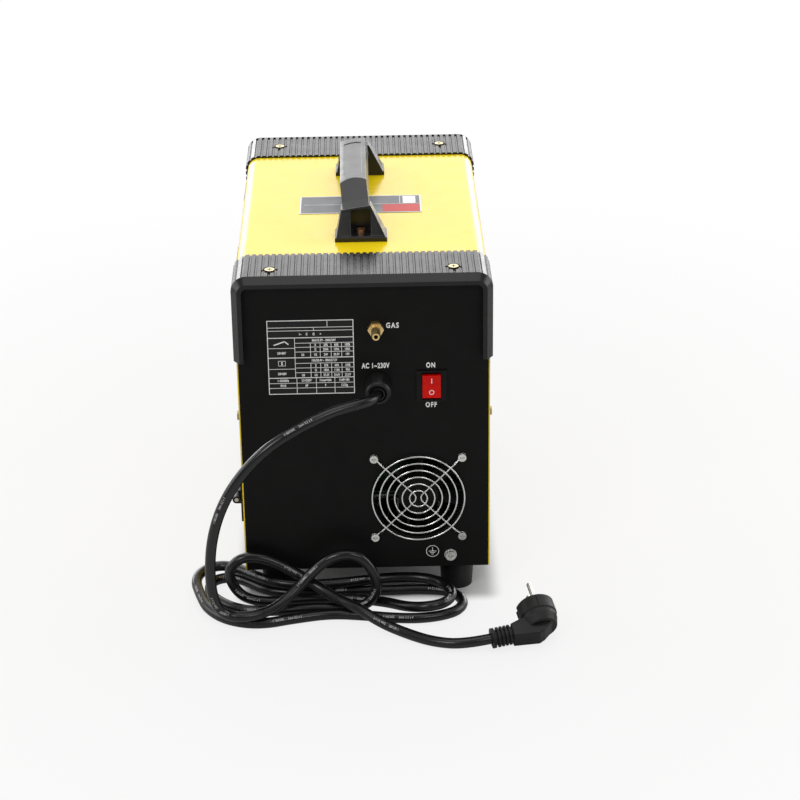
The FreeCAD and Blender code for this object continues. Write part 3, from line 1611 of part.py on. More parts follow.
def make_feeder():
    """The wire drive: motor, drive roll, idler roll on its pressure arm, and tension lever."""
    x, z = size.wire_x, size.wire_z
    y = size.roll_y
    face = WALL_FACE
    back = box("feeder_plate", (face - 12, face), (y - 52, y + 66), (z - 50, z + 42))
    inlet = box("feeder_inlet", (x - 8, face - 11), (y - 50, y - 34), (z - 12, z + 6))
    outlet = box("feeder_outlet", (x - 8, face - 11), (y + 48, y + 64), (z - 12, z + 6))
    arm_pin = rod(
        "arm_pin", "-X", (face - 11, size.arm_pivot_y, size.arm_pivot_z), size.shaft_radius, 24
    )
    lever_pin = rod("lever_pin", "-X", (face - 11, size.lever_y, size.lever_z), 3, 20)
    whole = fuse("feeder_whole", [back, inlet, outlet, arm_pin, lever_pin])
    tools = [
        rod("feeder_wire_way", "+Y", (x, y - 60, z), 1.5, 140),
        rod(
            "feeder_shaft_way", "+X", (face - 13, y, ROLL_Z), size.shaft_radius + size.shaft_play, 20
        ),
    ]
    node(cut("feeder_body", whole, tools), "feeder_body")

    gearbox = rod("gearbox", "+X", (face + size.wall_sheet, y, ROLL_Z), 28, 20)
    motor = rod("motor_can", "+X", (face + size.wall_sheet + 19, y, ROLL_Z), 22, 50)
    socket = rod(
        "gearbox_bore", "+X", (face, y, ROLL_Z), size.shaft_radius + size.shaft_play, 14
    )
    node(cut("feed_motor", fuse("motor_whole", [gearbox, motor]), [socket]), "feed_motor")

    half = size.roll_width / 2
    roll = rod("roll_blank", "+X", (x - half, y, ROLL_Z), size.roll_radius, size.roll_width)
    shaft = rod("roll_shaft", "+X", (x - half - 3, y, ROLL_Z), size.shaft_radius, face + 12 - x)
    node(fuse("drive_roll", [roll, shaft]), "drive_roll")

    idler = rod("idler_blank", "+X", (x - half, y, IDLER_Z), size.roll_radius, size.roll_width)
    idler_bore = rod(
        "idler_bore", "+X", (x - half - 1, y, IDLER_Z), 3.5 + size.shaft_play, size.roll_width + 2
    )
    node(cut("idler_roll", idler, [idler_bore]), "idler_roll")

    near, far = face - 14, face - 32
    pivot_y, pivot_z = size.arm_pivot_y, size.arm_pivot_z
    bar = box("arm_bar", (far, near), (pivot_y, y + 38), (pivot_z - 8, pivot_z + 6))
    eye = rod("arm_eye", "-X", (near, pivot_y, pivot_z), 9, near - far)
    lobe = rod("arm_lobe", "-X", (near, y, IDLER_Z), 10, near - far)
    rise = box("arm_rise", (far, near), (y - 8, y + 8), (IDLER_Z, pivot_z))
    stub = rod("arm_stub", "-X", (far + 1, y, IDLER_Z), 3.5, far + 4 - (x - half))
    arm_bore = rod(
        "arm_bore", "-X", (near + 1, pivot_y, pivot_z), size.shaft_radius + size.shaft_play, 30
    )
    slot_x = lever_x()
    slot = box(
        "arm_slot", (slot_x - 3.6, slot_x + 3.6), (size.lever_y - 4, y + 40), (pivot_z - 9, 170)
    )
    node(
        cut("pressure_arm", fuse("arm_whole", [bar, eye, lobe, rise, stub]), [arm_bore, slot]),
        "pressure_arm",
    )
    make_tension_lever()


def lever_x():
    return WALL_FACE - 23


def make_tension_lever():
    """The tension lever, which leans forward when released, with its knob at the end."""
    lean = float(size.lever_lean)
    eye = Part.makeCylinder(6, 6, Vector(-3, 0, 0), Vector(1, 0, 0))
    stem = Part.makeCylinder(3, 56, Vector(0, 0, 0))
    knob = Part.makeCone(11, 10, 21, Vector(0, 0, 41.5))
    bore = Part.makeCylinder(3 + float(size.shaft_play), 10, Vector(-5, 0, 0), Vector(1, 0, 0))
    lever = eye.fuse([stem, knob]).cut(bore)
    pivot = Vector(float(lever_x()), float(size.lever_y), float(size.lever_z))
    forward = Rotation(Vector(1, 0, 0), -lean)
    node(solid("tension_lever", lever, Placement(pivot, forward)), "tension_lever")


def make_spool():
    """The wire spool on its hub, wound full, with the nut that keeps it on."""
    y, z = size.spool_y, size.spool_z
    base = WALL_FACE - 11
    width = size.spool_width
    flange = rod("hub_flange", "-X", (WALL_FACE, y, z), 32, 6)
    sleeve = rod(
        "hub_sleeve", "-X", (WALL_FACE - 5, y, z), size.spool_bore - size.hub_play, width + 9
    )
    thread = rod("hub_thread", "-X", (WALL_FACE - 5 - width - 8, y, z), 9, 9)
    node(fuse("spool_axle", [flange, sleeve, thread]), "spool_axle")
    outer, thin = size.spool_radius, 3.5
    drum = rod("spool_drum", "-X", (base, y, z), outer / 2, width)
    cheeks = [
        rod("spool_cheek_a", "-X", (base, y, z), outer, thin),
        rod("spool_cheek_b", "-X", (base - width + thin, y, z), outer, thin),
    ]
    tools = [
        rod("spool_bore_tool", "-X", (base + 1, y, z), size.spool_bore, width + 2),
        cut(
            "spool_hollow",
            rod("spool_hollow_outer", "-X", (base - 6, y, z), outer / 2 - 3, width),
            [rod("spool_hollow_inner", "-X", (base, y, z), size.spool_bore + 3.5, width + 2)],
        ),
    ]
    node(cut("wire_spool", fuse("spool_whole", [drum] + cheeks), tools), "wire_spool")
    gap = 0.2
    wound = rod(
        "winding_blank", "-X", (base - thin - gap, y, z), outer - 12, width - (thin + gap) * 2
    )
    inside = rod("winding_bore", "-X", (base, y, z), outer / 2 + gap, width + 2)
    node(cut("wire_winding", wound, [inside]), "wire_winding")
    nut_start = base - width - 1.5
    nut = rod("nut_disc", "-X", (nut_start, y, z), 30, 5)
    grip = box("nut_grip", (nut_start - 10, nut_start - 4), (y - 22, y + 22), (z - 5, z + 5))
    nut_bore = rod("nut_bore", "-X", (nut_start + 1, y, z), 9, 20)
    node(cut("spool_nut", fuse("nut_whole", [nut, grip]), [nut_bore]), "spool_nut")


# The mains lead's route up to the plug: it hangs from the gland, folds back and forth on the floor
HANGING = [
    (12.9, -208, 222.9),
    (12.9, -229, 222.9),
    (2, -243, 223),
    (-27, -255, 221),
    (-57, -266, 211),
    (-88, -275, 195),
    (-113, -277, 169),
    (-131, -277, 139),
    (-142, -276, 104),
    (-145.5, -274, 66),
    (-143.5, -271, 36),
]
ARCH = [
    (-133, -266, 17.5),
    (-109, -265, 15.8),
    (-86, -251, 17),
    (-66, -233, 28),
    (-50, -227, 44),
    (-32, -227, 59),
    (-9, -227, 59.5),
    (5, -227, 42),
    (9.5, -228, 21),
    (-2, -231, 5.6),
]
INNER_LEFT_FOLD = [
    (-28, -232.5, 5.1),
    (-56, -231, 5),
    (-90, -236, 5.1),
    (-120, -233, 5),
    (-142, -216, 5.1),
    (-154, -195, 5),
    (-151, -173, 5.1),
    (-133, -166, 5),
    (-114, -179, 5.1),
    (-95, -197, 5),
    (-66, -202, 5.1),
]
OUTER_RIGHT_FOLD = [
    (-24, -198.5, 5),
    (14, -200, 5.1),
    (50, -198, 5),
    (78, -203, 5.1),
    (91.5, -222, 5),
    (86, -241, 5.1),
    (69, -251, 5),
    (46, -255.5, 5.1),
    (20, -253, 5),
    (-6, -247, 5.1),
    (-36, -243, 5),
    (-68, -250, 5.1),
]
OUTER_LEFT_FOLD = [
    (-102, -260.5, 5),
    (-132, -252, 5.1),
    (-152, -231, 5.2),
    (-161, -206, 8),
    (-167, -183, 12),
    (-158, -166, 14.5),
    (-140, -161, 15.4),
    (-124, -172, 16.5),
    (-109, -187, 17),
    (-90, -201, 17),
    (-65, -206, 16),
]
INNER_RIGHT_FOLD = [
    (-36, -203.5, 15.6),
    (-8, -199, 15.8),
    (22, -193, 15.6),
    (50, -194, 15.8),
    (71, -205, 15.7),
    (81, -226, 15.6),
    (74, -245, 15.8),
    (57, -252.5, 15.7),
    (37, -243, 10.5),
    (16, -222.5, 5.2),
    (-12, -215, 5),
]
STANDING_LOOP = [
    (-44, -212.5, 5.1),
    (-74, -215, 5),
    (-98, -219, 5.3),
    (-118, -216, 9),
    (-129, -215, 22),
    (-132.5, -215, 39),
    (-120, -215, 52.5),
    (-99, -215, 52),
    (-75, -215.5, 39.5),
    (-52, -220, 25),
]
LAST_RUN = [
    (-31, -235, 17.5),
    (-10, -253, 16.5),
    (10, -267.5, 9),
    (33, -282, 5.2),
    (59, -299.5, 5.1),
]


def cord_route():
    """All the points of the lead, the last two on the plug's own axis."""
    folds = [INNER_LEFT_FOLD, OUTER_RIGHT_FOLD, OUTER_LEFT_FOLD, INNER_RIGHT_FOLD, STANDING_LOOP]
    points = HANGING + ARCH + [point for fold in folds for point in fold] + LAST_RUN
    plug = plug_placement()
    before = plug.multVec(Vector(-26, 0, 0))
    return [Vector(*point) for point in points] + [before, plug.Base]


def cord_tube(corners, radius):
    """The lead as straight runs joined by tangent arcs, each as large as its two runs allow."""
    edges = []
    radii = []
    start = corners[0]
    for before, corner, after in zip(corners, corners[1:], corners[2:]):
        arriving, leaving = corner - before, after - corner
        back = 0.45 * min(arriving.Length, leaving.Length)
        turn = arriving.getAngle(leaving)
        bend = back / math.tan(turn / 2)
        radii.append(bend)
        first = corner - arriving.normalize() * back
        last = corner + leaving.normalize() * back
        towards = (last - corner).normalize() + (first - corner).normalize()
        middle = corner + towards.normalize() * (bend / math.cos(turn / 2) - bend)
        edges.append(Part.makeLine(start, first))
        edges.append(Part.Arc(first, middle, last).toShape())
        start = last
    edges.append(Part.makeLine(start, corners[-1]))
    path = Part.Wire(edges)
    section = Part.Wire(Part.makeCircle(radius, corners[0], corners[1] - corners[0]))
    tube = path.makePipeShell([section], True, True)
    print("cord radii", [round(r) for r in radii])
    expected = math.pi * radius**2 * path.Length
    print(f"cord length {path.Length:.0f}, volume over section times length "
          f"{tube.Volume / expected:.4f}")
    return tube


def plug_placement():
    """Where the plug lies on its side: X runs on from the lead and Z along the pins."""
    turned = Rotation(Vector(0, 0, 1), float(size.plug_turn))
    risen = Rotation(Vector(0, 1, 0), -float(size.plug_rise))
    tilted = Rotation(Vector(1, 0, 0), -float(size.plug_tilt))
    at = Vector(float(size.plug_x), float(size.plug_y), float(size.plug_z))
    return Placement(at, turned.multiply(risen).multiply(tilted))


def plug_block():
    """The plug's back: a flat-sided block from the bend relief to past the pins, its end bevelled."""
    half = float(size.plug_block_width) / 2
    middle = float(size.plug_head_x)
    side = [
        Vector(19.5, -half, -7.8),
        Vector(middle - 5, -half, -11),
        Vector(middle + 0.5, -half, -8.5),
        Vector(middle + 13, -half, 1.5),
        Vector(middle + 15.5, -half, 6),
        Vector(middle + 12, -half, 9),
        Vector(30, -half, 9),
        Vector(19.5, -half, 5.5),
    ]
    block = Part.Face(Part.makePolygon(side + side[:1])).extrude(Vector(0, 2 * half, 0))
    return block.makeFillet(1.2, [e for e in block.Edges if e.CenterOfMass.z < 3.6])


def plug_head():
    """The round head, turned about the pins' middle line, with a ledge behind and a flat face."""
    radius = float(size.plug_head_radius)
    face = float(size.plug_face)
    profile = [
        Vector(0, 0, -1.2),
        Vector(radius - 4.4, 0, -1.2),
        Vector(radius - 3.4, 0, -0.2),
        Vector(radius - 1.2, 0, 7),
        Vector(radius - 1, 0, 11.5),
        Vector(radius, 0, 12.5),
        Vector(radius, 0, face - 1),
        Vector(radius - 1, 0, face),
        Vector(0, 0, face),
    ]
    turned = Part.Face(Part.makePolygon(profile + profile[:1])).revolve(
        Vector(), Vector(0, 0, 1), 360
    )
    turned.translate(Vector(float(size.plug_head_x), 0, 0))
    return turned


def make_mains_lead():
    """The lead with its moulded angled plug."""
    radius = float(size.cord_diameter) / 2
    node(solid("mains_cord", cord_tube(cord_route(), radius)), "mains_cord")
    relief = Part.makeCone(6.8, 7.4, 24, Vector(0, 0, 0), Vector(1, 0, 0))
    ribs = [Part.makeCylinder(9.4, 3, Vector(0, 0, 0), Vector(1, 0, 0))]
    for i in range(1, 5):
        ribs.append(Part.makeCylinder(9.4, 1.7, Vector(1.8 + 3.6 * i, 0, 0), Vector(1, 0, 0)))
    middle = float(size.plug_head_x)
    plug = relief.fuse(ribs + [plug_block(), plug_head()])
    reach = float(size.plug_pin_length)
    half = float(size.plug_pin_pitch) / 2
    face = float(size.plug_face)
    for sign in (-1, 1):
        slot = Part.makeBox(4, 7, 13, Vector(-2, -3.5, face - 12))
        slot.translate(Vector(middle + sign * float(size.plug_head_radius), 0, 0))
        plug = plug.cut(slot)
        groove = Part.makeBox(1.6, 2, 20, Vector(-0.8, -1, 12.5))
        groove.translate(Vector(middle, sign * float(size.plug_head_radius), 0))
        plug = plug.cut(groove)
    earth = Part.makeCylinder(2.6, 14, Vector(middle + 9, 0, face - 13))
    plug = plug.cut(earth)
    pins = []
    for sign in (-1, 1):
        base = Vector(middle, half * sign, face - 10)
        pin = Part.makeCylinder(float(size.plug_pin_radius), reach + 10, base)
        tip = [e for e in pin.Edges if e.Vertexes[0].Point.z > face + 5 and len(e.Vertexes) == 1]
        pin = pin.makeFillet(1, tip)
        pins.append(pin)
        plug = plug.cut(Part.makeCylinder(float(size.plug_pin_radius), 30, base))
    node(solid("plug_body", plug.removeSplitter(), plug_placement()), "plug_body")
    node(solid("plug_pins", Part.makeCompound(pins), plug_placement()), "plug_pins")


def check_and_write():
    """Every object has to be sound before any file is written."""
    doc.recompute()
    for thing in doc.Objects:
        if "Invalid" in thing.State or "Error" in thing.State:
            raise ValueError(f"{thing.Label} has failed: {thing.State}")
    for thing in nodes:
        shape = thing.Shape
        if shape.isNull() or not shape.isValid() or not shape.Solids:
            raise ValueError(f"{thing.Label} is not a sound solid")
    for thing in nodes:
        thing.Shape.exportStep(f"parts/{thing.Label}.step")
        print(f"{thing.Label}: {len(thing.Shape.Solids)} solids, {thing.Shape.Volume:.0f} mm3")
    print(len(nodes), "nodes")


make_base_pan()
make_rear_panel()
make_front_panel()
make_cover()
make_trim("rear_trim", True)
make_trim("front_trim", False)
make_side_door()
make_latches()
make_hinges()
make_centre_wall()
make_handle()
make_case_screws()
make_feet()
make_labels()
make_gas_inlet()
make_gland()
make_switch()
make_fan()
make_fan_guard()
make_earth_bolt()
make_electronics()
make_control_board()
make_fascia()
make_controls()
make_sockets()
make_gas_line()
make_feeder()
make_spool()
make_mains_lead()
check_and_write()
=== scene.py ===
"""Looks for the MIG welding machine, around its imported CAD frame. Metres; +Y forward, +Z up."""
import json
import math

import bmesh
import bpy
from mathutils import Matrix, Vector
from mathutils.bvhtree import BVHTree


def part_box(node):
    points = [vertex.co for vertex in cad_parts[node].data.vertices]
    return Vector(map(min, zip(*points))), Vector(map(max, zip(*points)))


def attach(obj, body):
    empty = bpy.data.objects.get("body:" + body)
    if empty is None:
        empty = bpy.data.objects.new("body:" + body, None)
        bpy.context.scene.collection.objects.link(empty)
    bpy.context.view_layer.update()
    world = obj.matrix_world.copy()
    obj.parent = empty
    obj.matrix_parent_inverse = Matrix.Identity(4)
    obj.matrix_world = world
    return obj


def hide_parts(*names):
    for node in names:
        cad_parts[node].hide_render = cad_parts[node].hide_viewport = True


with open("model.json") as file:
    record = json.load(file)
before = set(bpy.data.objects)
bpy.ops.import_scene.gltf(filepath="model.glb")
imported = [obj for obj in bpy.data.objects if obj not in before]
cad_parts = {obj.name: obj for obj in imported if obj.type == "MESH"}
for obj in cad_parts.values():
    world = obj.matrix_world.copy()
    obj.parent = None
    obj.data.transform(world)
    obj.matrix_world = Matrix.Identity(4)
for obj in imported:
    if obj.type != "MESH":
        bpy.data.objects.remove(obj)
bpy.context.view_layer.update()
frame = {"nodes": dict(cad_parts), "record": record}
nodes = frame["nodes"]
MACHINE = "machine"
MM = 0.001

# Places on the machine, in millimetres as the CAD source has them
REAR = -203.0
FRONT = 203.0
FASCIA = 204.0


def point(x, y, z):
    """A place given in millimetres."""
    return Vector((x, y, z)) * MM


# The camera, solved from the photograph: its place and axes in metres, its lens in millimetres
CAMERA_PLACE = (0.0033, -2.1324, 1.0807)
CAMERA_RIGHT = (0.99969354, -0.0211848, -0.01280764)
CAMERA_UP = (0.02040482, 0.41221081, 0.91085997)
CAMERA_AHEAD = (0.01401694, 0.91084217, -0.41251675)
CAMERA_LENS = 103.16
SENSOR_WIDTH = 36.0
NEAREST_SEEN = 0.05


def add_camera():
    data = bpy.data.cameras.new("camera")
    data.lens = CAMERA_LENS
    data.sensor_width = SENSOR_WIDTH
    data.clip_start = NEAREST_SEEN
    camera = bpy.data.objects.new("camera", data)
    axes = Matrix((CAMERA_RIGHT, CAMERA_UP, [-a for a in CAMERA_AHEAD])).transposed()
    camera.matrix_world = Matrix.Translation(CAMERA_PLACE) @ axes.to_4x4()
    bpy.context.scene.collection.objects.link(camera)
    bpy.context.scene.camera = camera


def link(name, data, body=MACHINE):
    """A new object in the CAD frame that rides on a body."""
    thing = bpy.data.objects.new(name, data)
    bpy.context.scene.collection.objects.link(thing)
    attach(thing, body)
    return thing


# Materials: texture scales are in waves per metre, bump depths and edge radii in millimetres
NOISE_LOW = 0.3
NOISE_HIGH = 0.7
BEVEL_SAMPLES = 6
PLASTIC_DRIFT = 14.0
PLASTIC_GLOSS = 60.0
PLASTIC_DEPTH = 0.06
METAL_DRIFT = 60.0
METAL_GLOSS = 220.0
METAL_DEPTH = 0.03
METAL_GRAIN = 0.15
INK_DRIFT = 300.0
INK_GRAIN = 2500.0
INK_DEPTH = 0.02
TRACK_SCALE = 160.0
TRACK_DEPTH = 0.05


class Shader:
    """A node material on one Principled shader, with its textures in the frame's metres."""

    def __init__(self, name, roughness, metallic=0.0, specular=0.5):
        self.name = name
        self.material = bpy.data.materials.new(name)
        self.material.use_nodes = True
        self.tree = self.material.node_tree
        self.shader = self.tree.nodes["Principled BSDF"]
        self.shader.inputs["Roughness"].default_value = roughness
        self.shader.inputs["Metallic"].default_value = metallic
        self.shader.inputs["Specular IOR Level"].default_value = specular
        self.place = self.add("ShaderNodeTexCoord").outputs["Object"]
        self.normal = None

    def add(self, kind, **values):
        node = self.tree.nodes.new(kind)
        for key, value in values.items():
            if hasattr(node, key):
                setattr(node, key, value)
            else:
                node.inputs[key].default_value = value
        return node

    def join(self, output, target):
        self.tree.links.new(output, target)

    def noise(self, scale, detail, stretch=None):
        texture = self.add("ShaderNodeTexNoise", Scale=scale, Detail=detail)
        source = self.place
        if stretch:
            mapping = self.add("ShaderNodeMapping", Scale=stretch)
            self.join(source, mapping.inputs["Vector"])
            source = mapping.outputs["Vector"]
        self.join(source, texture.inputs["Vector"])
        return texture.outputs["Fac"]

    def ramp(self, factor, stops):
        """Colours at their places along a factor."""
        ramp = self.add("ShaderNodeValToRGB")
        elements = ramp.color_ramp.elements
        while len(elements) < len(stops):
            elements.new(0.5)
        for element, (position, colour) in zip(elements, stops):
            element.position = position
            element.color = (*colour, 1.0)
        self.join(factor, ramp.inputs["Fac"])
        return ramp.outputs["Color"]

    def colour(self, base, spread, scale):
        """A base colour that drifts a little lighter and darker."""
        dark = [max(0.0, c * (1 - spread)) for c in base]
        light = [min(1.0, c * (1 + spread)) for c in base]
        colour = self.ramp(self.noise(scale, 4.0), [(NOISE_LOW, dark), (NOISE_HIGH, light)])
        self.join(colour, self.shader.inputs["Base Color"])

    def vary_roughness(self, low, high, scale, stretch=None):
        spread = self.add("ShaderNodeMapRange")
        spread.inputs["From Min"].default_value = NOISE_LOW
        spread.inputs["From Max"].default_value = NOISE_HIGH
        spread.inputs["To Min"].default_value = low
        spread.inputs["To Max"].default_value = high
        self.join(self.noise(scale, 4.0, stretch), spread.inputs["Value"])
        self.join(spread.outputs["Result"], self.shader.inputs["Roughness"])

    def soften(self, radius):
        """Edges that catch the light as if they were rounded."""
        bevel = self.add("ShaderNodeBevel", samples=BEVEL_SAMPLES, Radius=radius * MM)
        self.chain(bevel)

    def bump(self, height, strength, distance):
        bump = self.add("ShaderNodeBump", Strength=strength, Distance=distance * MM)
        self.join(height, bump.inputs["Height"])
        self.chain(bump)

    def chain(self, node):
        """Adds a node that changes the normal after those before it."""
        if self.normal is not None:
            self.join(self.normal, node.inputs["Normal"])
        self.normal = node.outputs["Normal"]
        self.join(self.normal, self.shader.inputs["Normal"])

    def grain(self, scale, strength, distance, stretch=None):
        self.bump(self.noise(scale, 2.0, stretch), strength, distance)


def plastic(name, base, roughness, grain=900.0, strength=0.2, spread=0.06, edge=0.4, specular=0.3):
    """A moulded or painted surface with a fine texture and softly rounded edges."""
    look = Shader(name, roughness, specular=specular)
    look.colour(base, spread, PLASTIC_DRIFT)
    look.vary_roughness(roughness * 0.88, min(1.0, roughness * 1.15), PLASTIC_GLOSS)
    if edge:
        look.soften(edge)
    look.grain(grain, strength, PLASTIC_DEPTH)
    return look


def metal(name, base, roughness, stretch=None, spread=0.08, edge=0.3, scale=400.0):
    """A bare or plated metal with uneven gloss, drawn out along a wire by stretch."""
    look = Shader(name, roughness, 1.0)
    look.colour(base, spread, METAL_DRIFT)
    look.vary_roughness(roughness * 0.75, min(1.0, roughness * 1.3), METAL_GLOSS, stretch)
    if edge:
        look.soften(edge)
    look.grain(scale, METAL_GRAIN, METAL_DEPTH, stretch)
    return look


def print_look(name, base):
    """Ink with a slightly uneven cover."""
    look = Shader(name, 0.45, specular=0.3)
    look.colour(base, 0.05, INK_DRIFT)
    look.grain(INK_GRAIN, 0.1, INK_DEPTH)
    return look


def board_look():
    """A circuit board: green lacquer over copper tracks."""
    look = Shader("green_board", 0.35)
    tracks = look.add("ShaderNodeTexVoronoi", feature="DISTANCE_TO_EDGE", Scale=TRACK_SCALE)
    look.join(look.place, tracks.inputs["Vector"])
    greens = [(0.04, (0.012, 0.09, 0.03)), (0.10, (0.005, 0.04, 0.014))]
    look.join(look.ramp(tracks.outputs["Distance"], greens), look.shader.inputs["Base Color"])
    look.bump(tracks.outputs["Distance"], 0.3, TRACK_DEPTH)
    return look


YELLOW = (0.80, 0.585, 0.006)
COAT_BLACK = (0.0030, 0.0030, 0.0028)
BLACK = (0.007, 0.007, 0.007)


def make_looks():
    """All materials by name. The colours are linear, as they look in plain light."""
    looks = [
        plastic("yellow_steel", YELLOW, 0.24, 850.0, 0.012, 0.02, 0.5),
        plastic("black_steel", COAT_BLACK, 0.5, 1500.0, 0.3, 0.12, 0.4, 0.15),
        plastic("black_plastic", BLACK, 0.36, 1300.0, 0.2, specular=0.32),
        plastic("trim_plastic", (0.003, 0.003, 0.003), 0.27, 1100.0, 0.05, edge=0, specular=0.36),
        plastic("handle_plastic", (0.009, 0.009, 0.009), 0.3, 1100.0, 0.16, edge=0.8, specular=0.5),
        plastic("dull_plastic", (0.005, 0.005, 0.005), 0.45, 1300.0, 0.2, specular=0.15),
        plastic("black_rubber", BLACK, 0.5, 900.0, 0.3),
        plastic("cord_rubber", (0.004, 0.004, 0.005), 0.26, 500.0, 0.06, edge=0, specular=0.46),
        plastic("red_plastic", (0.64, 0.004, 0.001), 0.25, 300.0, 0.05, specular=0.15),
        plastic("grey_plastic", (0.35, 0.35, 0.34), 0.4, 900.0),
        plastic("dark_fascia", (0.02, 0.02, 0.023), 0.38, 1800.0),
        plastic("grey_label", (0.115, 0.12, 0.13), 0.4, 2200.0, 0.1, edge=0),
        plastic("black_label", (0.006, 0.006, 0.006), 0.4, 2200.0, 0.1, edge=0, specular=0.3),
        plastic("smoked_lens", (0.012, 0.006, 0.006), 0.06, 200.0, 0.01, specular=0.6),
        plastic("lamp_amber", (0.75, 0.22, 0.01), 0.15, 300.0, 0.02),
        metal("zinc_steel", (0.60, 0.60, 0.57), 0.32),
        metal("bright_zinc", (0.68, 0.68, 0.65), 0.2, scale=900.0),
        metal("gold_zinc", (0.50, 0.43, 0.26), 0.3, scale=900.0),
        metal("copper_steel", (0.72, 0.38, 0.20), 0.34),
        metal("chrome_wire", (0.74, 0.74, 0.73), 0.16, edge=0),
        metal("nickel", (0.70, 0.69, 0.65), 0.2),
        metal("hard_steel", (0.42, 0.42, 0.43), 0.3),
        metal("yellow_brass", (0.82, 0.61, 0.28), 0.36),
        metal("bare_aluminium", (0.66, 0.67, 0.68), 0.42),
        metal("copper_wound", (0.42, 0.16, 0.06), 0.45, (1.0, 14.0, 14.0), 0.3),
        board_look(),
        print_look("white_ink", (0.86, 0.86, 0.84)),
        print_look("grey_ink", (0.42, 0.42, 0.41)),
        print_look("red_ink", (0.55, 0.02, 0.02)),
        print_look("digit_red", (0.42, 0.012, 0.008)),
    ]
    return {look.name: look.material for look in looks}


# Nodes that look different from the rest of their slot
OWN_LOOKS = {
    "case_screws": "gold_zinc",
    "fan_screws": "bright_zinc",
    "earth_bolt": "bright_zinc",
    "rear_trim": "trim_plastic",
    "front_trim": "trim_plastic",
    "handle": "handle_plastic",
    "switch_housing": "dull_plastic",
    "fan_frame": "dull_plastic",
    "fan_rotor": "dull_plastic",
}


def dress_nodes():
    """Every CAD node that shows takes the look of its material slot."""
    slots = {part["node"]: part["material_slot"] for part in frame["record"]["subparts"]}
    for name, thing in nodes.items():
        look = LOOKS[OWN_LOOKS.get(name, slots[name])]
        if not thing.material_slots:
            thing.data.materials.append(look)
        for place in thing.material_slots:
            place.material = look


def dress(thing, look):
    thing.data.materials.append(LOOKS[look])
    return thing


# The mains lead, in millimetres: its route from the gland, stretch by stretch, to the plug
CORD_DIAMETER = 10.0
HANGING = [
    (12.9, -208, 222.9),
    (12.9, -229, 222.9),
    (2, -243, 223),
    (-27, -255, 221),
    (-57, -266, 211),
    (-88, -275, 195),
    (-113, -277, 169),
    (-131, -277, 139),
    (-142, -276, 104),
    (-145.5, -274, 66),
    (-143.5, -271, 36),
]
ARCH = [
    (-133, -266, 17.5),
    (-109, -265, 15.8),
    (-86, -251, 17),
    (-66, -233, 28),
    (-50, -227, 44),
    (-32, -227, 59),
    (-9, -227, 59.5),
    (5, -227, 42),
    (9.5, -228, 21),
    (-2, -231, 5.6),
]
INNER_LEFT_FOLD = [
    (-28, -232.5, 5.1),
    (-56, -231, 5),
    (-90, -236, 5.1),
    (-120, -233, 5),
    (-142, -216, 5.1),
    (-154, -195, 5),
    (-151, -173, 5.1),
    (-133, -166, 5),
    (-114, -179, 5.1),
    (-95, -197, 5),
    (-66, -202, 5.1),
]
OUTER_RIGHT_FOLD = [
    (-24, -198.5, 5),
    (14, -200, 5.1),
    (50, -198, 5),
    (78, -203, 5.1),
    (91.5, -222, 5),
    (86, -241, 5.1),
    (69, -251, 5),
    (46, -255.5, 5.1),
    (20, -253, 5),
    (-6, -247, 5.1),
    (-36, -243, 5),
    (-68, -250, 5.1),
]
OUTER_LEFT_FOLD = [
    (-102, -260.5, 5),
    (-132, -252, 5.1),
    (-152, -231, 5.2),
    (-161, -206, 8),
    (-167, -183, 12),
    (-158, -166, 14.5),
    (-140, -161, 15.4),
    (-124, -172, 16.5),
    (-109, -187, 17),
    (-90, -201, 17),
    (-65, -206, 16),
]
INNER_RIGHT_FOLD = [
    (-36, -203.5, 15.6),
    (-8, -199, 15.8),
    (22, -193, 15.6),
    (50, -194, 15.8),
    (71, -205, 15.7),
    (81, -226, 15.6),
    (74, -245, 15.8),
    (57, -252.5, 15.7),
    (37, -243, 10.5),
    (16, -222.5, 5.2),
    (-12, -215, 5),
]
STANDING_LOOP = [
    (-44, -212.5, 5.1),
    (-74, -215, 5),
    (-98, -219, 5.3),
    (-118, -216, 9),
    (-129, -215, 22),
    (-132.5, -215, 39),
    (-120, -215, 52.5),
    (-99, -215, 52),
    (-75, -215.5, 39.5),
    (-52, -220, 25),
]
LAST_RUN = [
    (-31, -235, 17.5),
    (-10, -253, 16.5),
    (10, -267.5, 9),
    (33, -282, 5.2),
    (59, -299.5, 5.1),
]
PLUG_PLACE = (112.5, -303.6, 9.7)
PLUG_TURN = math.radians(11.4)
PLUG_RISE = math.radians(5.5)
PLUG_RUN = 26.0


def add_cord():
    """The mains lead on one smooth curve. The bevel is 1 m, so each radius is the real one."""
    folds = [INNER_LEFT_FOLD, OUTER_RIGHT_FOLD, OUTER_LEFT_FOLD, INNER_RIGHT_FOLD, STANDING_LOOP]
    route = [Vector(p) for p in HANGING + ARCH + sum(folds, []) + LAST_RUN]
    flat = math.cos(PLUG_RISE)
    axis = Vector((flat * math.cos(PLUG_TURN), flat * math.sin(PLUG_TURN), math.sin(PLUG_RISE)))
    end = Vector(PLUG_PLACE)
    route += [end - axis * PLUG_RUN, end]
    curve = bpy.data.curves.new("mains_lead", "CURVE")
    curve.dimensions = "3D"
    spline = curve.splines.new("NURBS")
    spline.points.add(len(route) - 1)
    for control, place in zip(spline.points, route):
        control.co = (*(place * MM), 1.0)
        control.radius = CORD_DIAMETER / 2 * MM
    spline.order_u = 3
    spline.use_endpoint_u = True
    spline.resolution_u = 10
    curve.bevel_depth = 1.0
    curve.bevel_resolution = 6
    lead = link("mains_lead", curve)
    dress(lead, "cord_rubber")
    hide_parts("mains_cord")
    return lead


# Words and marks

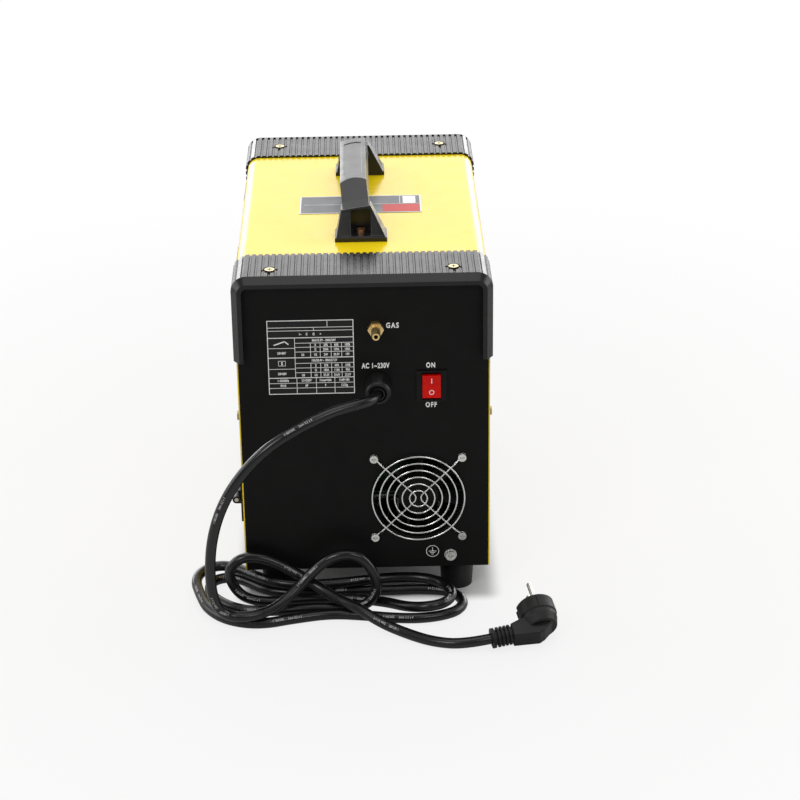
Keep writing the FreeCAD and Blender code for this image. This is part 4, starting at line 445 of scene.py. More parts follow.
CORD_WORDS = "3 x 2.5 mm2     300/500 V"
CORD_WORD_HEIGHT = 2.2
CORD_WORD_LIFT = 0.03
CORD_FACING = Vector((-0.25, -0.75, 0.62)).normalized()
# Along the lead, in metres
CORD_WORD_STEP = 0.107
CORD_BARE_END = 0.07
CORD_WORD_HALF = 0.035


def add_cord_print(lead):
    """Small white print along the sheath, bent round it, on the side that faces outwards."""
    bare = bpy.data.objects.new("bare", lead.data.copy())
    bare.data.bevel_depth = 0.0
    line = bpy.data.meshes.new_from_object(bare)
    path = [vert.co.copy() for vert in line.vertices]
    bpy.data.meshes.remove(line)
    bpy.data.curves.remove(bare.data)
    along = [0.0]
    for before, after in zip(path, path[1:]):
        along.append(along[-1] + (after - before).length)
    radius = CORD_DIAMETER / 2 * MM
    sheet = Print((0, 0, 0), "top")
    start = CORD_BARE_END
    while start < along[-1] - CORD_BARE_END:
        words = Print((0, 0, 0), "top")
        words.words(CORD_WORDS, CORD_WORD_HEIGHT, 0, 0, bold=0.08)
        step = 0
        for vert in sorted(words.shape.verts, key=lambda v: v.co.x):
            reach = start + CORD_WORD_HALF + vert.co.x
            while along[step + 1] < reach:
                step += 1
            share = (reach - along[step]) / (along[step + 1] - along[step])
            ahead = (path[step + 1] - path[step]).normalized()
            out = (CORD_FACING - ahead * CORD_FACING.dot(ahead)).normalized()
            side = out.cross(ahead)
            turn = vert.co.y / radius
            far = radius + CORD_WORD_LIFT * MM + vert.co.z
            spot = path[step].lerp(path[step + 1], share)
            vert.co = spot + (out * math.cos(turn) - side * math.sin(turn)) * far
        mesh = bpy.data.meshes.new("words")
        words.shape.to_mesh(mesh)
        words.shape.free()
        sheet.shape.from_mesh(mesh)
        bpy.data.meshes.remove(mesh)
        start += CORD_WORD_STEP
    sheet.finish("lead_print", "grey_ink")


# Half the thickness of the print, and how far it lies out from its surface
INK = 0.04
LIFT = 0.02
# The font's capitals stand this share of its size
CAPITAL = 0.7
# Turns a print's right, up and outward to the way that each side faces
FACINGS = {
    "rear": Matrix.Rotation(math.pi / 2, 4, "X"),
    "front": Matrix.Rotation(math.pi, 4, "Z") @ Matrix.Rotation(math.pi / 2, 4, "X"),
    "top": Matrix.Identity(4),
    "door": Matrix(((0, 0, 1, 0), (-1, 0, 0, 0), (0, -1, 0, 0), (0, 0, 0, 1))),
}


class Print:
    """Flat print gathered into one mesh: u to the right, v up as seen, in millimetres."""

    def __init__(self, origin, facing, tilt=0.0):
        self.shape = bmesh.new()
        turn = FACINGS[facing] @ Matrix.Rotation(tilt, 4, "X")
        self.frame = Matrix.Translation(point(*origin)) @ turn @ Matrix.Scale(MM, 4)

    def words(self, text, size, u, v, width=0.72, bold=0.26, spacing=1.15):
        """Lettering of the given capital height, its middle at u, v."""
        curve = bpy.data.curves.new("words", "FONT")
        curve.body = text
        curve.size = size / CAPITAL
        curve.extrude = INK
        curve.offset = bold
        curve.space_character = spacing
        curve.align_x = "CENTER"
        curve.resolution_u = 3
        thing = bpy.data.objects.new("words", curve)
        mesh = bpy.data.meshes.new_from_object(thing)
        shift = Matrix.Translation((u, v - size / 2, 0)) @ Matrix.Diagonal((width, 1, 1, 1))
        mesh.transform(self.frame @ shift)
        self.shape.from_mesh(mesh)
        bpy.data.meshes.remove(mesh)
        bpy.data.objects.remove(thing)
        bpy.data.curves.remove(curve)

    def line(self, start, end, width):
        """A straight stroke between two (u, v) places."""
        run = Vector(end) - Vector(start)
        middle = (Vector(end) + Vector(start)) / 2
        turn = Matrix.Rotation(math.atan2(run.y, run.x), 4, "Z")
        size = Matrix.Diagonal((run.length, width, 2 * INK, 1))
        place = self.frame @ Matrix.Translation((*middle, 0)) @ turn @ size
        bmesh.ops.create_cube(self.shape, size=1.0, matrix=place)

    def block(self, left, right, low, high):
        self.line((left, (low + high) / 2), (right, (low + high) / 2), high - low)

    def border(self, half_width, half_height, width, u=0.0, v=0.0):
        """Four strokes round a rectangle, inside its edge."""
        inner = half_height - width
        for side in (-1, 1):
            edge = sorted((v + side * half_height, v + side * inner))
            self.block(u - half_width, u + half_width, *edge)
            edge = sorted((u + side * half_width, u + side * (half_width - width)))
            self.block(*edge, v - inner, v + inner)

    def ring(self, u, v, radius, width, count=40):
        """A round stroke."""
        loops = []
        for side, level in ((-0.5, -INK), (-0.5, INK), (0.5, INK), (0.5, -INK)):
            far = radius + side * width
            loop = []
            for i in range(count):
                angle = 2 * math.pi * i / count
                spot = Vector((u + far * math.cos(angle), v + far * math.sin(angle), level))
                loop.append(self.shape.verts.new(self.frame @ spot))
            loops.append(loop)
        for one, two in zip(loops, loops[1:] + loops[:1]):
            for i in range(count):
                after = (i + 1) % count
                self.shape.faces.new((one[i], one[after], two[after], two[i]))

    def finish(self, name, look, body=MACHINE):
        bmesh.ops.recalc_face_normals(self.shape, faces=self.shape.faces)
        mesh = bpy.data.meshes.new(name)
        self.shape.to_mesh(mesh)
        self.shape.free()
        return dress(link(name, mesh, body), look)


EARTH_MARK = (62.0, 48.3)
EARTH_RING = (5.9, 0.55)
EARTH_STROKE = 0.6
EARTH_STEM = (0.2, 4.2)
# Half the width of each bar of the earth mark, and its height from the ring's centre
EARTH_BARS = ((3.6, 0.0), (2.4, -1.6), (1.1, -3.2))


def add_rear_print():
    """The words of the rear panel and the earth mark."""
    sheet = Print((0, REAR - LIFT, 0), "rear")
    sheet.words("GAS", 5.0, 27.0, 281.8, 0.76, 0.2, 1.3)
    sheet.words("AC 1~230V", 4.9, 11.0, 242.1, 0.66)
    sheet.words("ON", 4.8, 61.6, 241.6, spacing=1.25)
    sheet.words("OFF", 4.9, 61.8, 201.8, spacing=1.3)
    u, v = EARTH_MARK
    sheet.ring(u, v, *EARTH_RING)
    low, high = EARTH_STEM
    sheet.line((u, v + low), (u, v + high), EARTH_STROKE)
    for half, rise in EARTH_BARS:
        level = v + rise
        sheet.block(u - half, u + half, level - EARTH_STROKE / 2, level + EARTH_STROKE / 2)
    sheet.finish("rear_print", "white_ink")


# The rating plate: sizes in millimetres, and its lines as shares of the table from the top left
PLATE_WIDTH = 80.0
PLATE_HEIGHT = 74.5
PLATE_CENTRE = (-48, 251.8)
PLATE_THICKNESS = 0.4
PLATE_MARGIN = 1.2
PLATE_BORDER = 0.7
FINE = 0.48
HEAVY = 0.75
FIRST_COLUMN = 0.313
LINES_FULL = (0.089, 0.132, 0.855, 0.923)
LINES_HEAVY = (0.229, 0.503, 0.782)
LINES_RIGHT = (0.303, 0.360, 0.424, 0.581, 0.645, 0.710)
LINES_LEFT = (0.371, 0.658)
COLUMNS = (0.497, 0.612, 0.741, 0.864)
LAST_COLUMNS = (0.326, 0.556, 0.775)
CELL_MIDDLES = (0.405, 0.555, 0.677, 0.803, 0.932)
CELL_ROWS = (
    (0.331, ("", "X", "25%", "60%", "100%")),
    (0.392, ("", "I2", "200A", "129A", "100A")),
    (0.463, ("U0", "U2", "24V", "20.5V", "19V")),
    (0.613, ("", "X", "25%", "60%", "100%")),
    (0.677, ("", "I2", "180A", "116A", "90A")),
    (0.746, ("U0", "U2", "27.2V", "24.6V", "23.6V")),
)
OTHER_CELLS = (
    ("1~", 0.38, 0.180),
    ("f1", 0.46, 0.180),
    ("f2", 0.54, 0.180),
    ("=", 0.62, 0.180),
    ("30A/15.5V - 200A/24V", 0.656, 0.266),
    ("10A/20.4V - 180A/27.2V", 0.656, 0.542),
    ("U0=56V", 0.156, 0.437),
    ("U0=56V", 0.156, 0.722),
    ("1~50/60Hz", 0.163, 0.818),
    ("U1=230V", 0.441, 0.818),
    ("I1max=36A", 0.665, 0.818),
    ("I1eff=18A", 0.888, 0.818),
    ("IP21S", 0.163, 0.889),
    ("AF", 0.441, 0.889),
    ("F", 0.665, 0.889),
    ("12.5kg", 0.888, 0.889),
)
TORCH_CELL = (0.156, 0.30)
TORCH_STROKE = 1.1
BOXED_S_CELL = (0.156, 0.58)


def add_rating_print():
    """The rating plate's table with generic numbers."""
    x, z = PLATE_CENTRE
    sheet = Print((x, REAR - PLATE_THICKNESS - LIFT, z), "rear")

    def across(v, left=0.0, right=1.0, width=FINE):
        sheet.line(spot(left, v), spot(right, v), width)

    def down(u, high, low):
        sheet.line(spot(u, high), spot(u, low), FINE)

    def spot(u, v):
        wide, high = PLATE_WIDTH - 2 * PLATE_MARGIN, PLATE_HEIGHT - 2 * PLATE_MARGIN
        return ((u - 0.5) * wide, (0.5 - v) * high)

    def cell(words, u, v):
        sheet.words(words, 2.3, *spot(u, v), width=0.62, bold=0.14)

    sheet.border(PLATE_WIDTH / 2 - 0.5, PLATE_HEIGHT / 2 - 0.5, PLATE_BORDER)
    for v in LINES_FULL:
        across(v)
    for v in LINES_HEAVY:
        across(v, width=HEAVY)
    for v in LINES_RIGHT:
        across(v, FIRST_COLUMN)
    for v in LINES_LEFT:
        across(v, 0.0, FIRST_COLUMN)
    top, upper_end, lower_end = LINES_HEAVY
    down(0.70, 0.0, LINES_FULL[0])
    down(0.54, *LINES_FULL[:2])
    down(FIRST_COLUMN, top, lower_end)
    for u in COLUMNS:
        down(u, LINES_RIGHT[0], upper_end)
        down(u, LINES_RIGHT[3], lower_end)
    for u in LAST_COLUMNS:
        down(u, lower_end, 1.0)
    for v, cells in CELL_ROWS:
        for u, words in zip(CELL_MIDDLES, cells):
            if words:
                cell(words, u, v)
    for words, u, v in OTHER_CELLS:
        cell(words, u, v)
    # The torch and the boxed S, as plain strokes
    u, v = spot(*TORCH_CELL)
    sheet.line((u - 7, v - 2), (u + 3, v + 1.6), TORCH_STROKE)
    sheet.line((u + 3, v + 1.6), (u + 6.5, v - 1.4), TORCH_STROKE)
    u, v = spot(*BOXED_S_CELL)
    sheet.border(3.4, 2.6, 0.4, u, v)
    sheet.words("S", 3.0, u, v)
    sheet.finish("rating_print", "white_ink")


def add_sticker_print():
    """The plain fields of the label under the handle."""
    low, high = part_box("top_sticker")
    middle = (low + high) / 2 / MM
    half = (high - low) / 2 / MM
    origin = (middle.x, middle.y, high.z / MM + LIFT)
    sheet = Print(origin, "top")
    sheet.border(half.x - 0.1, half.y - 0.1, 1.2)
    sheet.line((-half.x + 4, 0), (half.x * 0.3, 0), 0.5)
    sheet.block(half.x * 0.70, half.x * 0.91, 1.5, half.y - 3)
    sheet.line((half.x * 0.65, 1), (half.x * 0.65, half.y - 2), 0.5)
    sheet.line((half.x * 0.3, 0.6), (half.x - 2, 0.6), 0.5)
    sheet.finish("sticker_print", "white_ink")
    bar = Print(origin, "top")
    bar.block(half.x * 0.36, half.x * 0.96, -half.y + 2.6, -1.2)
    bar.finish("sticker_bar", "red_ink")


def meet(name, start, direction):
    """Where a straight look from a place first meets a node."""
    mesh = nodes[name].data
    tree = BVHTree.FromPolygons([v.co for v in mesh.vertices], [p.vertices for p in mesh.polygons])
    return tree.ray_cast(point(*start), Vector(direction))[0]


def seat(name, x, z, step=0.8):
    """Where a straight look forward meets a node, and the slope of the node there."""
    hits = [meet(name, (x, -400, z + d), (0, 1, 0)) for d in (-step, 0, step)]
    rise = hits[2] - hits[0]
    return hits[1].y / MM, math.atan2(rise.y, rise.z)


ROCKER_X = 62.3
ROCKER_ON_Z = 227.0
ROCKER_ON_HALF = 2.8
ROCKER_OFF_Z = 214.8
ROCKER_OFF_RADIUS = 2.1


def add_rocker_marks():
    """The stroke and the ring on the two halves of the rocker."""
    for name, z in (("rocker_on", ROCKER_ON_Z), ("rocker_off", ROCKER_OFF_Z)):
        y, slope = seat("switch_rocker", ROCKER_X, z)
        mark = Print((ROCKER_X, y - LIFT, z), "rear", -slope)
        if name == "rocker_on":
            mark.line((0, -ROCKER_ON_HALF), (0, ROCKER_ON_HALF), 0.8)
        else:
            mark.ring(0, 0, ROCKER_OFF_RADIUS, 0.6, 28)
        mark.finish(name, "white_ink", "switch_rocker")


# The front

KNOBS = {"knob_left": -62.0, "knob_middle": 0.0, "knob_right": 62.0}
KNOB_HEIGHT = 214.0
KNOB_FACE = 220.8
KNOB_RADIUS = 12.5
GRIP_RIBS = 24
GRIP_RIB_HEIGHT = 0.28
# Radius and distance from the machine's middle, from the open back to the front rim
GRIP_PROFILE = (
    (12.3, 206.5),
    (12.6, 206.6),
    (12.8, 208),
    (12.8, 217),
    (12.5, 218.6),
    (12.3, 218.7),
)
DIAL_STEPS = 11
DIAL_START = 225
DIAL_TURN = 27
DIAL_TICK = (15.2, 17.6)
DIAL_FIGURES = 20.4
DIAL_WORDS_Z = 190.5
BUTTON_X = 30
BUTTON_WORDS_Z = 259
DISPLAY_X = 42.0
DISPLAY_Z = 284.0
DISPLAY_LENS = (55.4, 0.5, 25.4)
FIGURE_PITCH = 14
FIGURE_HEIGHT = 15
LAMP_XS = (-9, 0, 9)
LAMP_Z = 250
LAMP_PROFILE = (
    (0, -0.3),
    (2.1, -0.3),
    (2.1, 0.2),
    (1.9, 0.4),
    (1.6, 0.5),
    (1.3, 1.0),
    (0.7, 1.35),
    (0, 1.45),
)
SOCKET_MARK_Z = 103.0
PLUS_X = -18
MINUS_X = -84
SEGMENTS = {"0": "abcdef", "1": "bc", "2": "abged", "4": "fgbc", "5": "afgcd", "8": "abcdefg"}


# Turns the z axis to the machine's front
FORWARD = Matrix.Rotation(-math.pi / 2, 4, "X")


def lathe(shape, profile, count, place, wave=None):
    """Adds a closed profile of (radius, height) places, turned round the z axis of place."""
    loops = []
    for radius, height in profile:
        loop = []
        for i in range(count):
            angle = 2 * math.pi * i / count
            far = radius + (wave(angle, radius) if wave else 0.0)
            spot = Vector((far * math.cos(angle), far * math.sin(angle), height))
            loop.append(shape.verts.new(place @ (spot * MM)))
        loops.append(loop)
    for one, two in zip(loops, loops[1:] + loops[:1]):
        for i in range(count):
            after = (i + 1) % count
            shape.faces.new((one[i], one[after], two[after], two[i]))


def to_mesh(name, shape, look, body=MACHINE, smooth=True):
    bmesh.ops.remove_doubles(shape, verts=shape.verts, dist=1e-6)
    bmesh.ops.recalc_face_normals(shape, faces=shape.faces)
    for face in shape.faces:
        face.smooth = smooth
    mesh = bpy.data.meshes.new(name)
    shape.to_mesh(mesh)
    shape.free()
    return dress(link(name, mesh, body), look)


def add_knob_grips():
    """A ribbed sleeve and a white pointer on each knob."""
    for name, x in KNOBS.items():
        shape = bmesh.new()
        place = Matrix.Translation(point(x, 0, KNOB_HEIGHT)) @ FORWARD

        def ribs(angle, radius):
            return GRIP_RIB_HEIGHT * math.cos(angle * GRIP_RIBS) if radius > KNOB_RADIUS else 0.0

        lathe(shape, GRIP_PROFILE, 6 * GRIP_RIBS, place, ribs)
        to_mesh(name + "_grip", shape, "black_plastic", name)
        mark = Print((x, KNOB_FACE + LIFT, KNOB_HEIGHT), "front")
        mark.block(-0.7, 0.7, 1.2, 8.5)
        mark.finish(name + "_mark", "white_ink", name)


def digit(sheet, figure, u, v, height):
    """One seven-segment figure."""
    half, arm, stroke = height * 0.27, height / 2, height * 0.09
    gap = stroke * 0.65
    strokes = {
        "a": ((-half + gap, arm), (half - gap, arm)),
        "b": ((half, arm - gap), (half, gap)),
        "c": ((half, -gap), (half, -arm + gap)),
        "d": ((-half + gap, -arm), (half - gap, -arm)),
        "e": ((-half, -gap), (-half, -arm + gap)),
        "f": ((-half, arm - gap), (-half, gap)),
        "g": ((-half + gap, 0), (half - gap, 0)),
    }
    for key in SEGMENTS[figure]:
        (a, b), (c, d) = strokes[key]
        sheet.line((u + a, v + b), (u + c, v + d), stroke)


def add_fascia_print():
    """The frame, dials and words of the control plate, and the signs over the sockets."""
    sheet = Print((0, FASCIA + LIFT, 0), "front")
    sheet.border(94, 61, 0.5, 0, 249)
    near, far = DIAL_TICK
    for u in KNOBS.values():
        centre = Vector((u, KNOB_HEIGHT))
        for step in range(DIAL_STEPS):
            angle = math.radians(DIAL_START - DIAL_TURN * step)
            way = Vector((math.cos(angle), math.sin(angle)))
            sheet.line(centre + way * near, centre + way * far, 0.5)
            if step % 2 == 0:
                spot = centre + way * DIAL_FIGURES
                sheet.words(str(step), 2.4, spot.x, spot.y, bold=0.04)
    for words, u in (("A", -DISPLAY_X), ("V", DISPLAY_X)):
        sheet.words(words, 4.0, u, DISPLAY_Z - 18.0)
        sheet.border(29.5, 14.5, 0.4, u, DISPLAY_Z)
    for words, u in (("2T / 4T", -BUTTON_X), ("GAS", BUTTON_X)):
        sheet.words(words, 2.8, u, BUTTON_WORDS_Z, bold=0.05)
    for words, u in zip(("V", "A", "m/min"), KNOBS.values()):
        sheet.words(words, 2.8, u, DIAL_WORDS_Z, bold=0.05)
    sheet.finish("fascia_print", "white_ink")
    panel = Print((0, FRONT + LIFT, 0), "front")
    low, high = SOCKET_MARK_Z - 0.6, SOCKET_MARK_Z + 0.6
    for u in (PLUS_X, MINUS_X):
        panel.block(u - 3.5, u + 3.5, low, high)
        if u == PLUS_X:
            panel.block(u - 0.6, u + 0.6, high, high + 2.9)
            panel.block(u - 0.6, u + 0.6, low - 2.9, low)
    panel.finish("socket_marks", "white_ink")


def add_displays():
    """Smoked lenses with unlit figures behind them."""
    shape = bmesh.new()
    for x in (-DISPLAY_X, DISPLAY_X):
        place = Matrix.Translation(point(x, FASCIA - DISPLAY_LENS[1] / 2, DISPLAY_Z))
        place = place @ Matrix.Diagonal((*point(*DISPLAY_LENS), 1))
        made = bmesh.ops.create_cube(shape, size=1.0, matrix=place)
        edges = {edge for vert in made["verts"] for edge in vert.link_edges}
        bmesh.ops.bevel(shape, geom=list(edges), offset=0.2 * MM, segments=2, affect="EDGES")
    to_mesh("display_lenses", shape, "smoked_lens", smooth=False)
    sheet = Print((0, FASCIA + LIFT, 0), "front")
    for middle, figures in ((-DISPLAY_X, "128"), (DISPLAY_X, "205")):
        for place, figure in enumerate(figures):
            u = middle + (place - 1) * FIGURE_PITCH
            digit(sheet, figure, u, DISPLAY_Z, FIGURE_HEIGHT)
    sheet.finish("display_figures", "digit_red")


def add_lamps():
    """Three small indicator lenses between the buttons."""
    shape = bmesh.new()
    for x in LAMP_XS:
        place = Matrix.Translation(point(x, FASCIA, LAMP_Z)) @ FORWARD
        lathe(shape, LAMP_PROFILE, 24, place)
    to_mesh("indicator_lenses", shape, "lamp_amber")


# The wire compartment

SPOOL_CENTRE = (-84.3, -50.0, 200.0)
WINDING_WIDTH = 47.6
WINDING_RADIUS = 87.7
WINDING_BORE = 50.3
WIRE_PITCH = 1.19
# The outline of one turn of wire: shares of the pitch, and the depth below its crown
WIRE_ROUND = ((0.05, -0.5), (0.25, -0.12), (0.5, 0.0), (0.75, -0.12), (0.95, -0.5))


def add_winding():
    """Wire wound turn beside turn on the spool."""
    shape = bmesh.new()
    place = Matrix.Translation(point(*SPOOL_CENTRE)) @ Matrix.Rotation(math.pi / 2, 4, "Y")
    profile = [(WINDING_BORE, 0.0)]
    turns = int(WINDING_WIDTH / WIRE_PITCH)
    for turn in range(turns):
        slack = 0.12 * math.sin(turn * 1.7) + 0.1 * math.sin(turn * 0.53)
        for step, dip in WIRE_ROUND:
            profile.append((WINDING_RADIUS + dip + slack, (turn + step) * WIRE_PITCH))
    profile.append((WINDING_BORE, turns * WIRE_PITCH))
    lathe(shape, profile, 96, place)
    winding = to_mesh("wound_wire", shape, "copper_steel", "wire_spool")
    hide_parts("wire_winding")


LEVER_PIVOT = (-45.0, 128.0, 116.0)
LEVER_LEAN = math.radians(50)
SPRING_TURNS = 7.5
SPRING_STEPS = 20
SPRING_SIDES = 8
SPRING_RADIUS = 4.3
SPRING_WIRE = 0.5
SPRING_ENDS = (8.0, 23.5)
LEVER_RIBS = 20
LEVER_RIB_HEIGHT = 0.3
LEVER_RIBBED = 10.4
# Radius and distance from the pivot along the lever
LEVER_GRIP = (
    (10.2, 44.0),
    (11.1, 44.2),
    (11.3, 45.0),
    (10.75, 59.5),
    (10.5, 60.3),
    (9.8, 60.5),
)


def lever_place():
    """The lever's pivot, with z along its stem."""
    return Matrix.Translation(point(*LEVER_PIVOT)) @ Matrix.Rotation(-LEVER_LEAN, 4, "X")


def add_lever_parts():
    """The return spring round the lever's stem and the ribs of its knob."""
    shape = bmesh.new()
    rings = []
    low, high = SPRING_ENDS
    count = int(SPRING_TURNS * SPRING_STEPS)
    for i in range(count + 1):
        angle = 2 * math.pi * i / SPRING_STEPS
        rise = low + (high - low) * i / count
        ring = []
        for j in range(SPRING_SIDES):
            turn = 2 * math.pi * j / SPRING_SIDES
            far = SPRING_RADIUS + SPRING_WIRE * math.cos(turn)
            height = rise + SPRING_WIRE * math.sin(turn)
            spot = Vector((far * math.cos(angle), far * math.sin(angle), height))
            ring.append(shape.verts.new(lever_place() @ (spot * MM)))
        rings.append(ring)
    for one, two in zip(rings, rings[1:]):
        for j in range(SPRING_SIDES):
            after = (j + 1) % SPRING_SIDES
            shape.faces.new((one[j], one[after], two[after], two[j]))
    shape.faces.new(rings[0])
    shape.faces.new(rings[-1])
    to_mesh("lever_spring", shape, "zinc_steel", "tension_lever")

    def ribs(angle, radius):
        return LEVER_RIB_HEIGHT * math.cos(angle * LEVER_RIBS) if radius > LEVER_RIBBED else 0.0

    shape = bmesh.new()
    lathe(shape, LEVER_GRIP, 6 * LEVER_RIBS, lever_place(), ribs)
    to_mesh("lever_knob_grip", shape, "black_plastic", "tension_lever")


CHART_HALF = (72.0, 40.0)
CHART_Z = 222.0
CHART_MARGIN = 1.5
CHART_BORDER = 0.6
CHART_LINE = 0.35
CHART_HEAD_LINE = 0.8
CHART_LETTERS = 4.4
# Wire and sheet thickness in millimetres, with the current and voltage to set
CHART_ROWS = (
    ("mm", "0.8", "1.0", "1.5", "2.0", "3.0", "4.0"),
    ("0.6", "40A", "55A", "75A", "90A", "-", "-"),
    ("0.8", "50A", "65A", "90A", "115A", "140A", "-"),
    ("0.9", "-", "70A", "100A", "125A", "155A", "180A"),
    ("1.0", "-", "-", "110A", "135A", "170A", "200A"),
    ("V", "15", "16", "17.5", "19", "21", "23.5"),
)


def add_door_chart():
    """A plain table of settings on the inside of the door."""
    x = meet("side_door", (-60, 0, CHART_Z), (-1, 0, 0)).x / MM
    half_u, half_v = CHART_HALF
    field = Print((x + LIFT, 0, CHART_Z), "door")
    field.block(-half_u, half_u, -half_v, half_v)
    field.finish("chart_field", "white_ink", "side_door")
    sheet = Print((x + LIFT + 0.05, 0, CHART_Z), "door")
    half_u -= CHART_MARGIN
    half_v -= CHART_MARGIN
    sheet.border(half_u, half_v, CHART_BORDER)
    columns, rows = len(CHART_ROWS[0]), len(CHART_ROWS)
    wide, high = 2 * half_u / columns, 2 * half_v / rows
    for i in range(1, columns):
        u = -half_u + i * wide
        sheet.line((u, -half_v), (u, half_v), CHART_LINE)
    for j in range(1, rows):
        v = half_v - j * high
        sheet.line((-half_u, v), (half_u, v), CHART_HEAD_LINE if j == 1 else CHART_LINE)
    for j, row in enumerate(CHART_ROWS):
        for i, words in enumerate(row):
            spot = (-half_u + (i + 0.5) * wide, half_v - (j + 0.5) * high)
            sheet.words(words, CHART_LETTERS, *spot, bold=0.1)
    sheet.finish("chart_print", "black_label", "side_door")


# Stage and light


def seen(tree, straight, mirrored):
    """The share of glow that the camera sees directly, and in metal and glass."""
    path = tree.nodes.new("ShaderNodeLightPath")
    shares = []
    for name, share in (
        ("Is Camera Ray", straight),
        ("Is Glossy Ray", mirrored),
        ("Is Transmission Ray", mirrored),
    ):
        part = tree.nodes.new("ShaderNodeMath")
        part.operation = "MULTIPLY"
        part.inputs[1].default_value = share
        tree.links.new(path.outputs[name], part.inputs[0])
        shares.append(part.outputs[0])
    total = shares[0]
    for share in shares[1:]:
        larger = tree.nodes.new("ShaderNodeMath")
        larger.operation = "MAXIMUM"
        tree.links.new(total, larger.inputs[0])
        tree.links.new(share, larger.inputs[1])
        total = larger.outputs[0]
    return total


# The floor, in metres: how much of its own white the camera and the metal see, and where
FLOOR_HALF = 6.0
FLOOR_GREY = (0.5, 0.5, 0.495)
FLOOR_WHITE = 1.02
FLOOR_GLOW = 0.985
MIRRORED_GLOW = 0.2
# Painted shade: the glow is cut under the machine's footprint and thinned near it, so the floor
# there is greyer, over its real shadow
UNDER_HALF = (0.112, 0.198, 0.0)
GLOW_FADE = 0.02
NEAR_SHARE = 0.80
NEAR_END = 0.1
FAR_START = 1.1
# The world: its strength behind the camera and ahead of it, and where it changes
DARK_SIDE = 0.22
BRIGHT_SIDE = 1.0
DARK_END = -0.35
BRIGHT_START = 0.7
AIM = (0, 0, 0.2)
# Each lamp's place, the place it faces, its size in metres and its brightness
LAMPS = {
    "behind": ((0, 3.0, 1.7), AIM, (3.2, 1.4), 1.9),
    "behind_left": ((-1.6, 2.6, 0.56), AIM, (2.0, 1.0), 4.5),
    "behind_right": ((1.6, 2.6, 0.56), AIM, (2.0, 1.0), 4.5),
    "overhead": ((0, -0.1, 2.3), (0, -0.1, 0.2), (1.8, 2.3), 1.25),
    "left": ((-2.2, 0, 1.0), AIM, (1.6, 1.4), 2.0),
    "right": ((2.2, 0, 1.0), AIM, (1.6, 1.4), 2.6),
    "front_left": ((-1.4, -2.2, 1.9), AIM, (1.0, 1.0), 7.0),
    "front_right": ((1.2, -2.4, 2.0), AIM, (1.2, 1.0), 3.5),
}


def away_from_machine(look):
    """The floor's glow share: 0 under the machine, rising to 1 a short way out from it. This paints
    shade on the floor under and around the machine, over its real shadow.
    """
    spread = look.add("ShaderNodeVectorMath", operation="ABSOLUTE")
    look.join(look.place, spread.inputs[0])
    beyond = look.add("ShaderNodeVectorMath", operation="SUBTRACT")
    look.join(spread.outputs[0], beyond.inputs[0])
    beyond.inputs[1].default_value = UNDER_HALF
    outside = look.add("ShaderNodeVectorMath", operation="MAXIMUM")
    look.join(beyond.outputs[0], outside.inputs[0])
    outside.inputs[1].default_value = (0, 0, 0)
    length = look.add("ShaderNodeVectorMath", operation="LENGTH")
    look.join(outside.outputs[0], length.inputs[0])
    fade = look.add("ShaderNodeMapRange", interpolation_type="SMOOTHSTEP")
    fade.inputs["From Max"].default_value = GLOW_FADE
    look.join(length.outputs["Value"], fade.inputs["Value"])
    far = look.add("ShaderNodeMapRange", interpolation_type="SMOOTHSTEP")
    far.inputs["From Min"].default_value = NEAR_END
    far.inputs["From Max"].default_value = FAR_START
    far.inputs["To Min"].default_value = NEAR_SHARE
    look.join(length.outputs["Value"], far.inputs["Value"])
    both = look.add("ShaderNodeMath", operation="MULTIPLY")
    look.join(fade.outputs["Result"], both.inputs[0])
    look.join(far.outputs["Result"], both.inputs[1])
    return both.outputs[0]


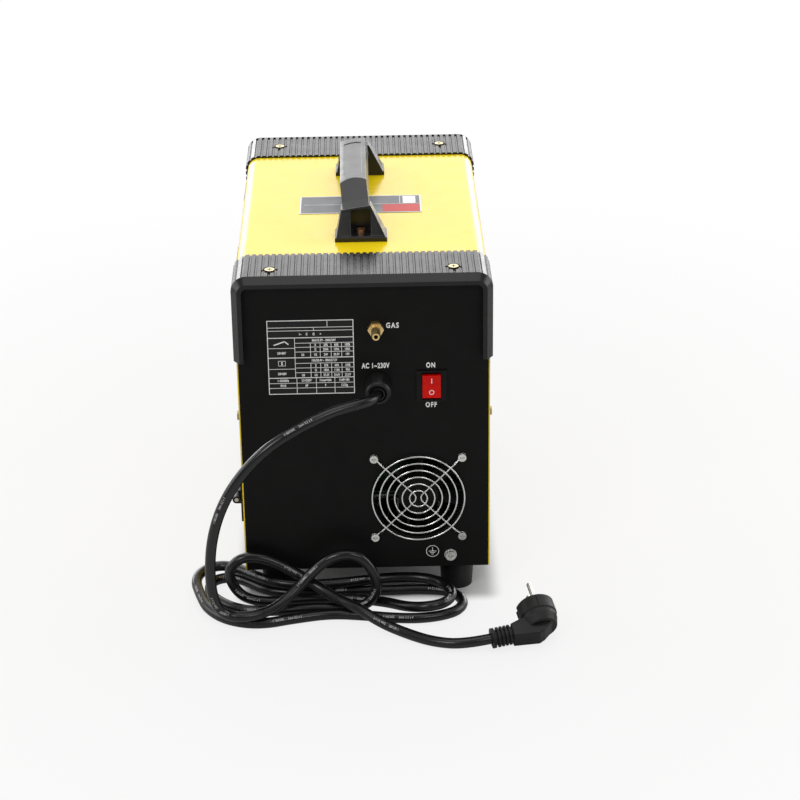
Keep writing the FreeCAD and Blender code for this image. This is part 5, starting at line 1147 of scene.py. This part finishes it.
def add_stage():
    """A pale glowing floor that keeps the machine's shadow. Its glow is cut under the machine and
    thinned near it, which paints shade there as well.
    """
    mesh = bpy.data.meshes.new("floor")
    signs = ((-1, -1), (1, -1), (1, 1), (-1, 1))
    corners = [(x * FLOOR_HALF, y * FLOOR_HALF, 0) for x, y in signs]
    mesh.from_pydata(corners, [], [(0, 1, 2, 3)])
    floor = bpy.data.objects.new("floor", mesh)
    bpy.context.scene.collection.objects.link(floor)
    look = Shader("floor", 0.7, specular=0.1)
    look.colour(FLOOR_GREY, 0.01, 1.5)
    glow = look.add("ShaderNodeEmission", Strength=FLOOR_WHITE)
    mix = look.add("ShaderNodeMixShader")
    share = look.add("ShaderNodeMath", operation="MULTIPLY")
    look.join(seen(look.tree, FLOOR_GLOW, MIRRORED_GLOW), share.inputs[0])
    look.join(away_from_machine(look), share.inputs[1])
    look.join(share.outputs[0], mix.inputs["Fac"])
    look.join(look.shader.outputs["BSDF"], mix.inputs[1])
    look.join(glow.outputs["Emission"], mix.inputs[2])
    out = look.tree.nodes["Material Output"]
    look.join(mix.outputs["Shader"], out.inputs["Surface"])
    floor.data.materials.append(look.material)


def add_lamp(name, place, target, size, radiance):
    """A soft rectangle of light with the given brightness."""
    data = bpy.data.lights.new(name, "AREA")
    data.shape = "RECTANGLE"
    data.size, data.size_y = size
    data.energy = radiance * math.pi * size[0] * size[1]
    lamp = bpy.data.objects.new(name, data)
    lamp.location = place
    lamp.rotation_euler = (Vector(target) - Vector(place)).to_track_quat("-Z", "Y").to_euler()
    bpy.context.scene.collection.objects.link(lamp)


def add_light():
    """A world that is white to the camera and darker behind it, and the lamps."""
    world = bpy.data.worlds.new("studio")
    world.use_nodes = True
    background = world.node_tree.nodes["Background"]
    background.inputs["Color"].default_value = (1.0, 1.0, 1.0, 1.0)
    tree = world.node_tree
    split = tree.nodes.new("ShaderNodeSeparateXYZ")
    tree.links.new(tree.nodes.new("ShaderNodeTexCoord").outputs["Generated"], split.inputs[0])
    spread = tree.nodes.new("ShaderNodeMapRange")
    for socket, value in (
        ("From Min", DARK_END),
        ("From Max", BRIGHT_START),
        ("To Min", DARK_SIDE),
        ("To Max", BRIGHT_SIDE),
    ):
        spread.inputs[socket].default_value = value
    tree.links.new(split.outputs["Y"], spread.inputs["Value"])
    strength = tree.nodes.new("ShaderNodeMath")
    strength.operation = "MAXIMUM"
    tree.links.new(spread.outputs["Result"], strength.inputs[0])
    path = tree.nodes.new("ShaderNodeLightPath")
    tree.links.new(path.outputs["Is Camera Ray"], strength.inputs[1])
    tree.links.new(strength.outputs[0], background.inputs["Strength"])
    bpy.context.scene.world = world
    for name, (place, target, size, radiance) in LAMPS.items():
        add_lamp(name, place, target, size, radiance)


bpy.context.scene.view_settings.view_transform = "Standard"
LOOKS = make_looks()
add_camera()
dress_nodes()
add_cord_print(add_cord())
add_rear_print()
add_rating_print()
add_sticker_print()
add_rocker_marks()
add_knob_grips()
add_fascia_print()
add_displays()
add_lamps()
add_winding()
add_lever_parts()
add_door_chart()
add_stage()
add_light()
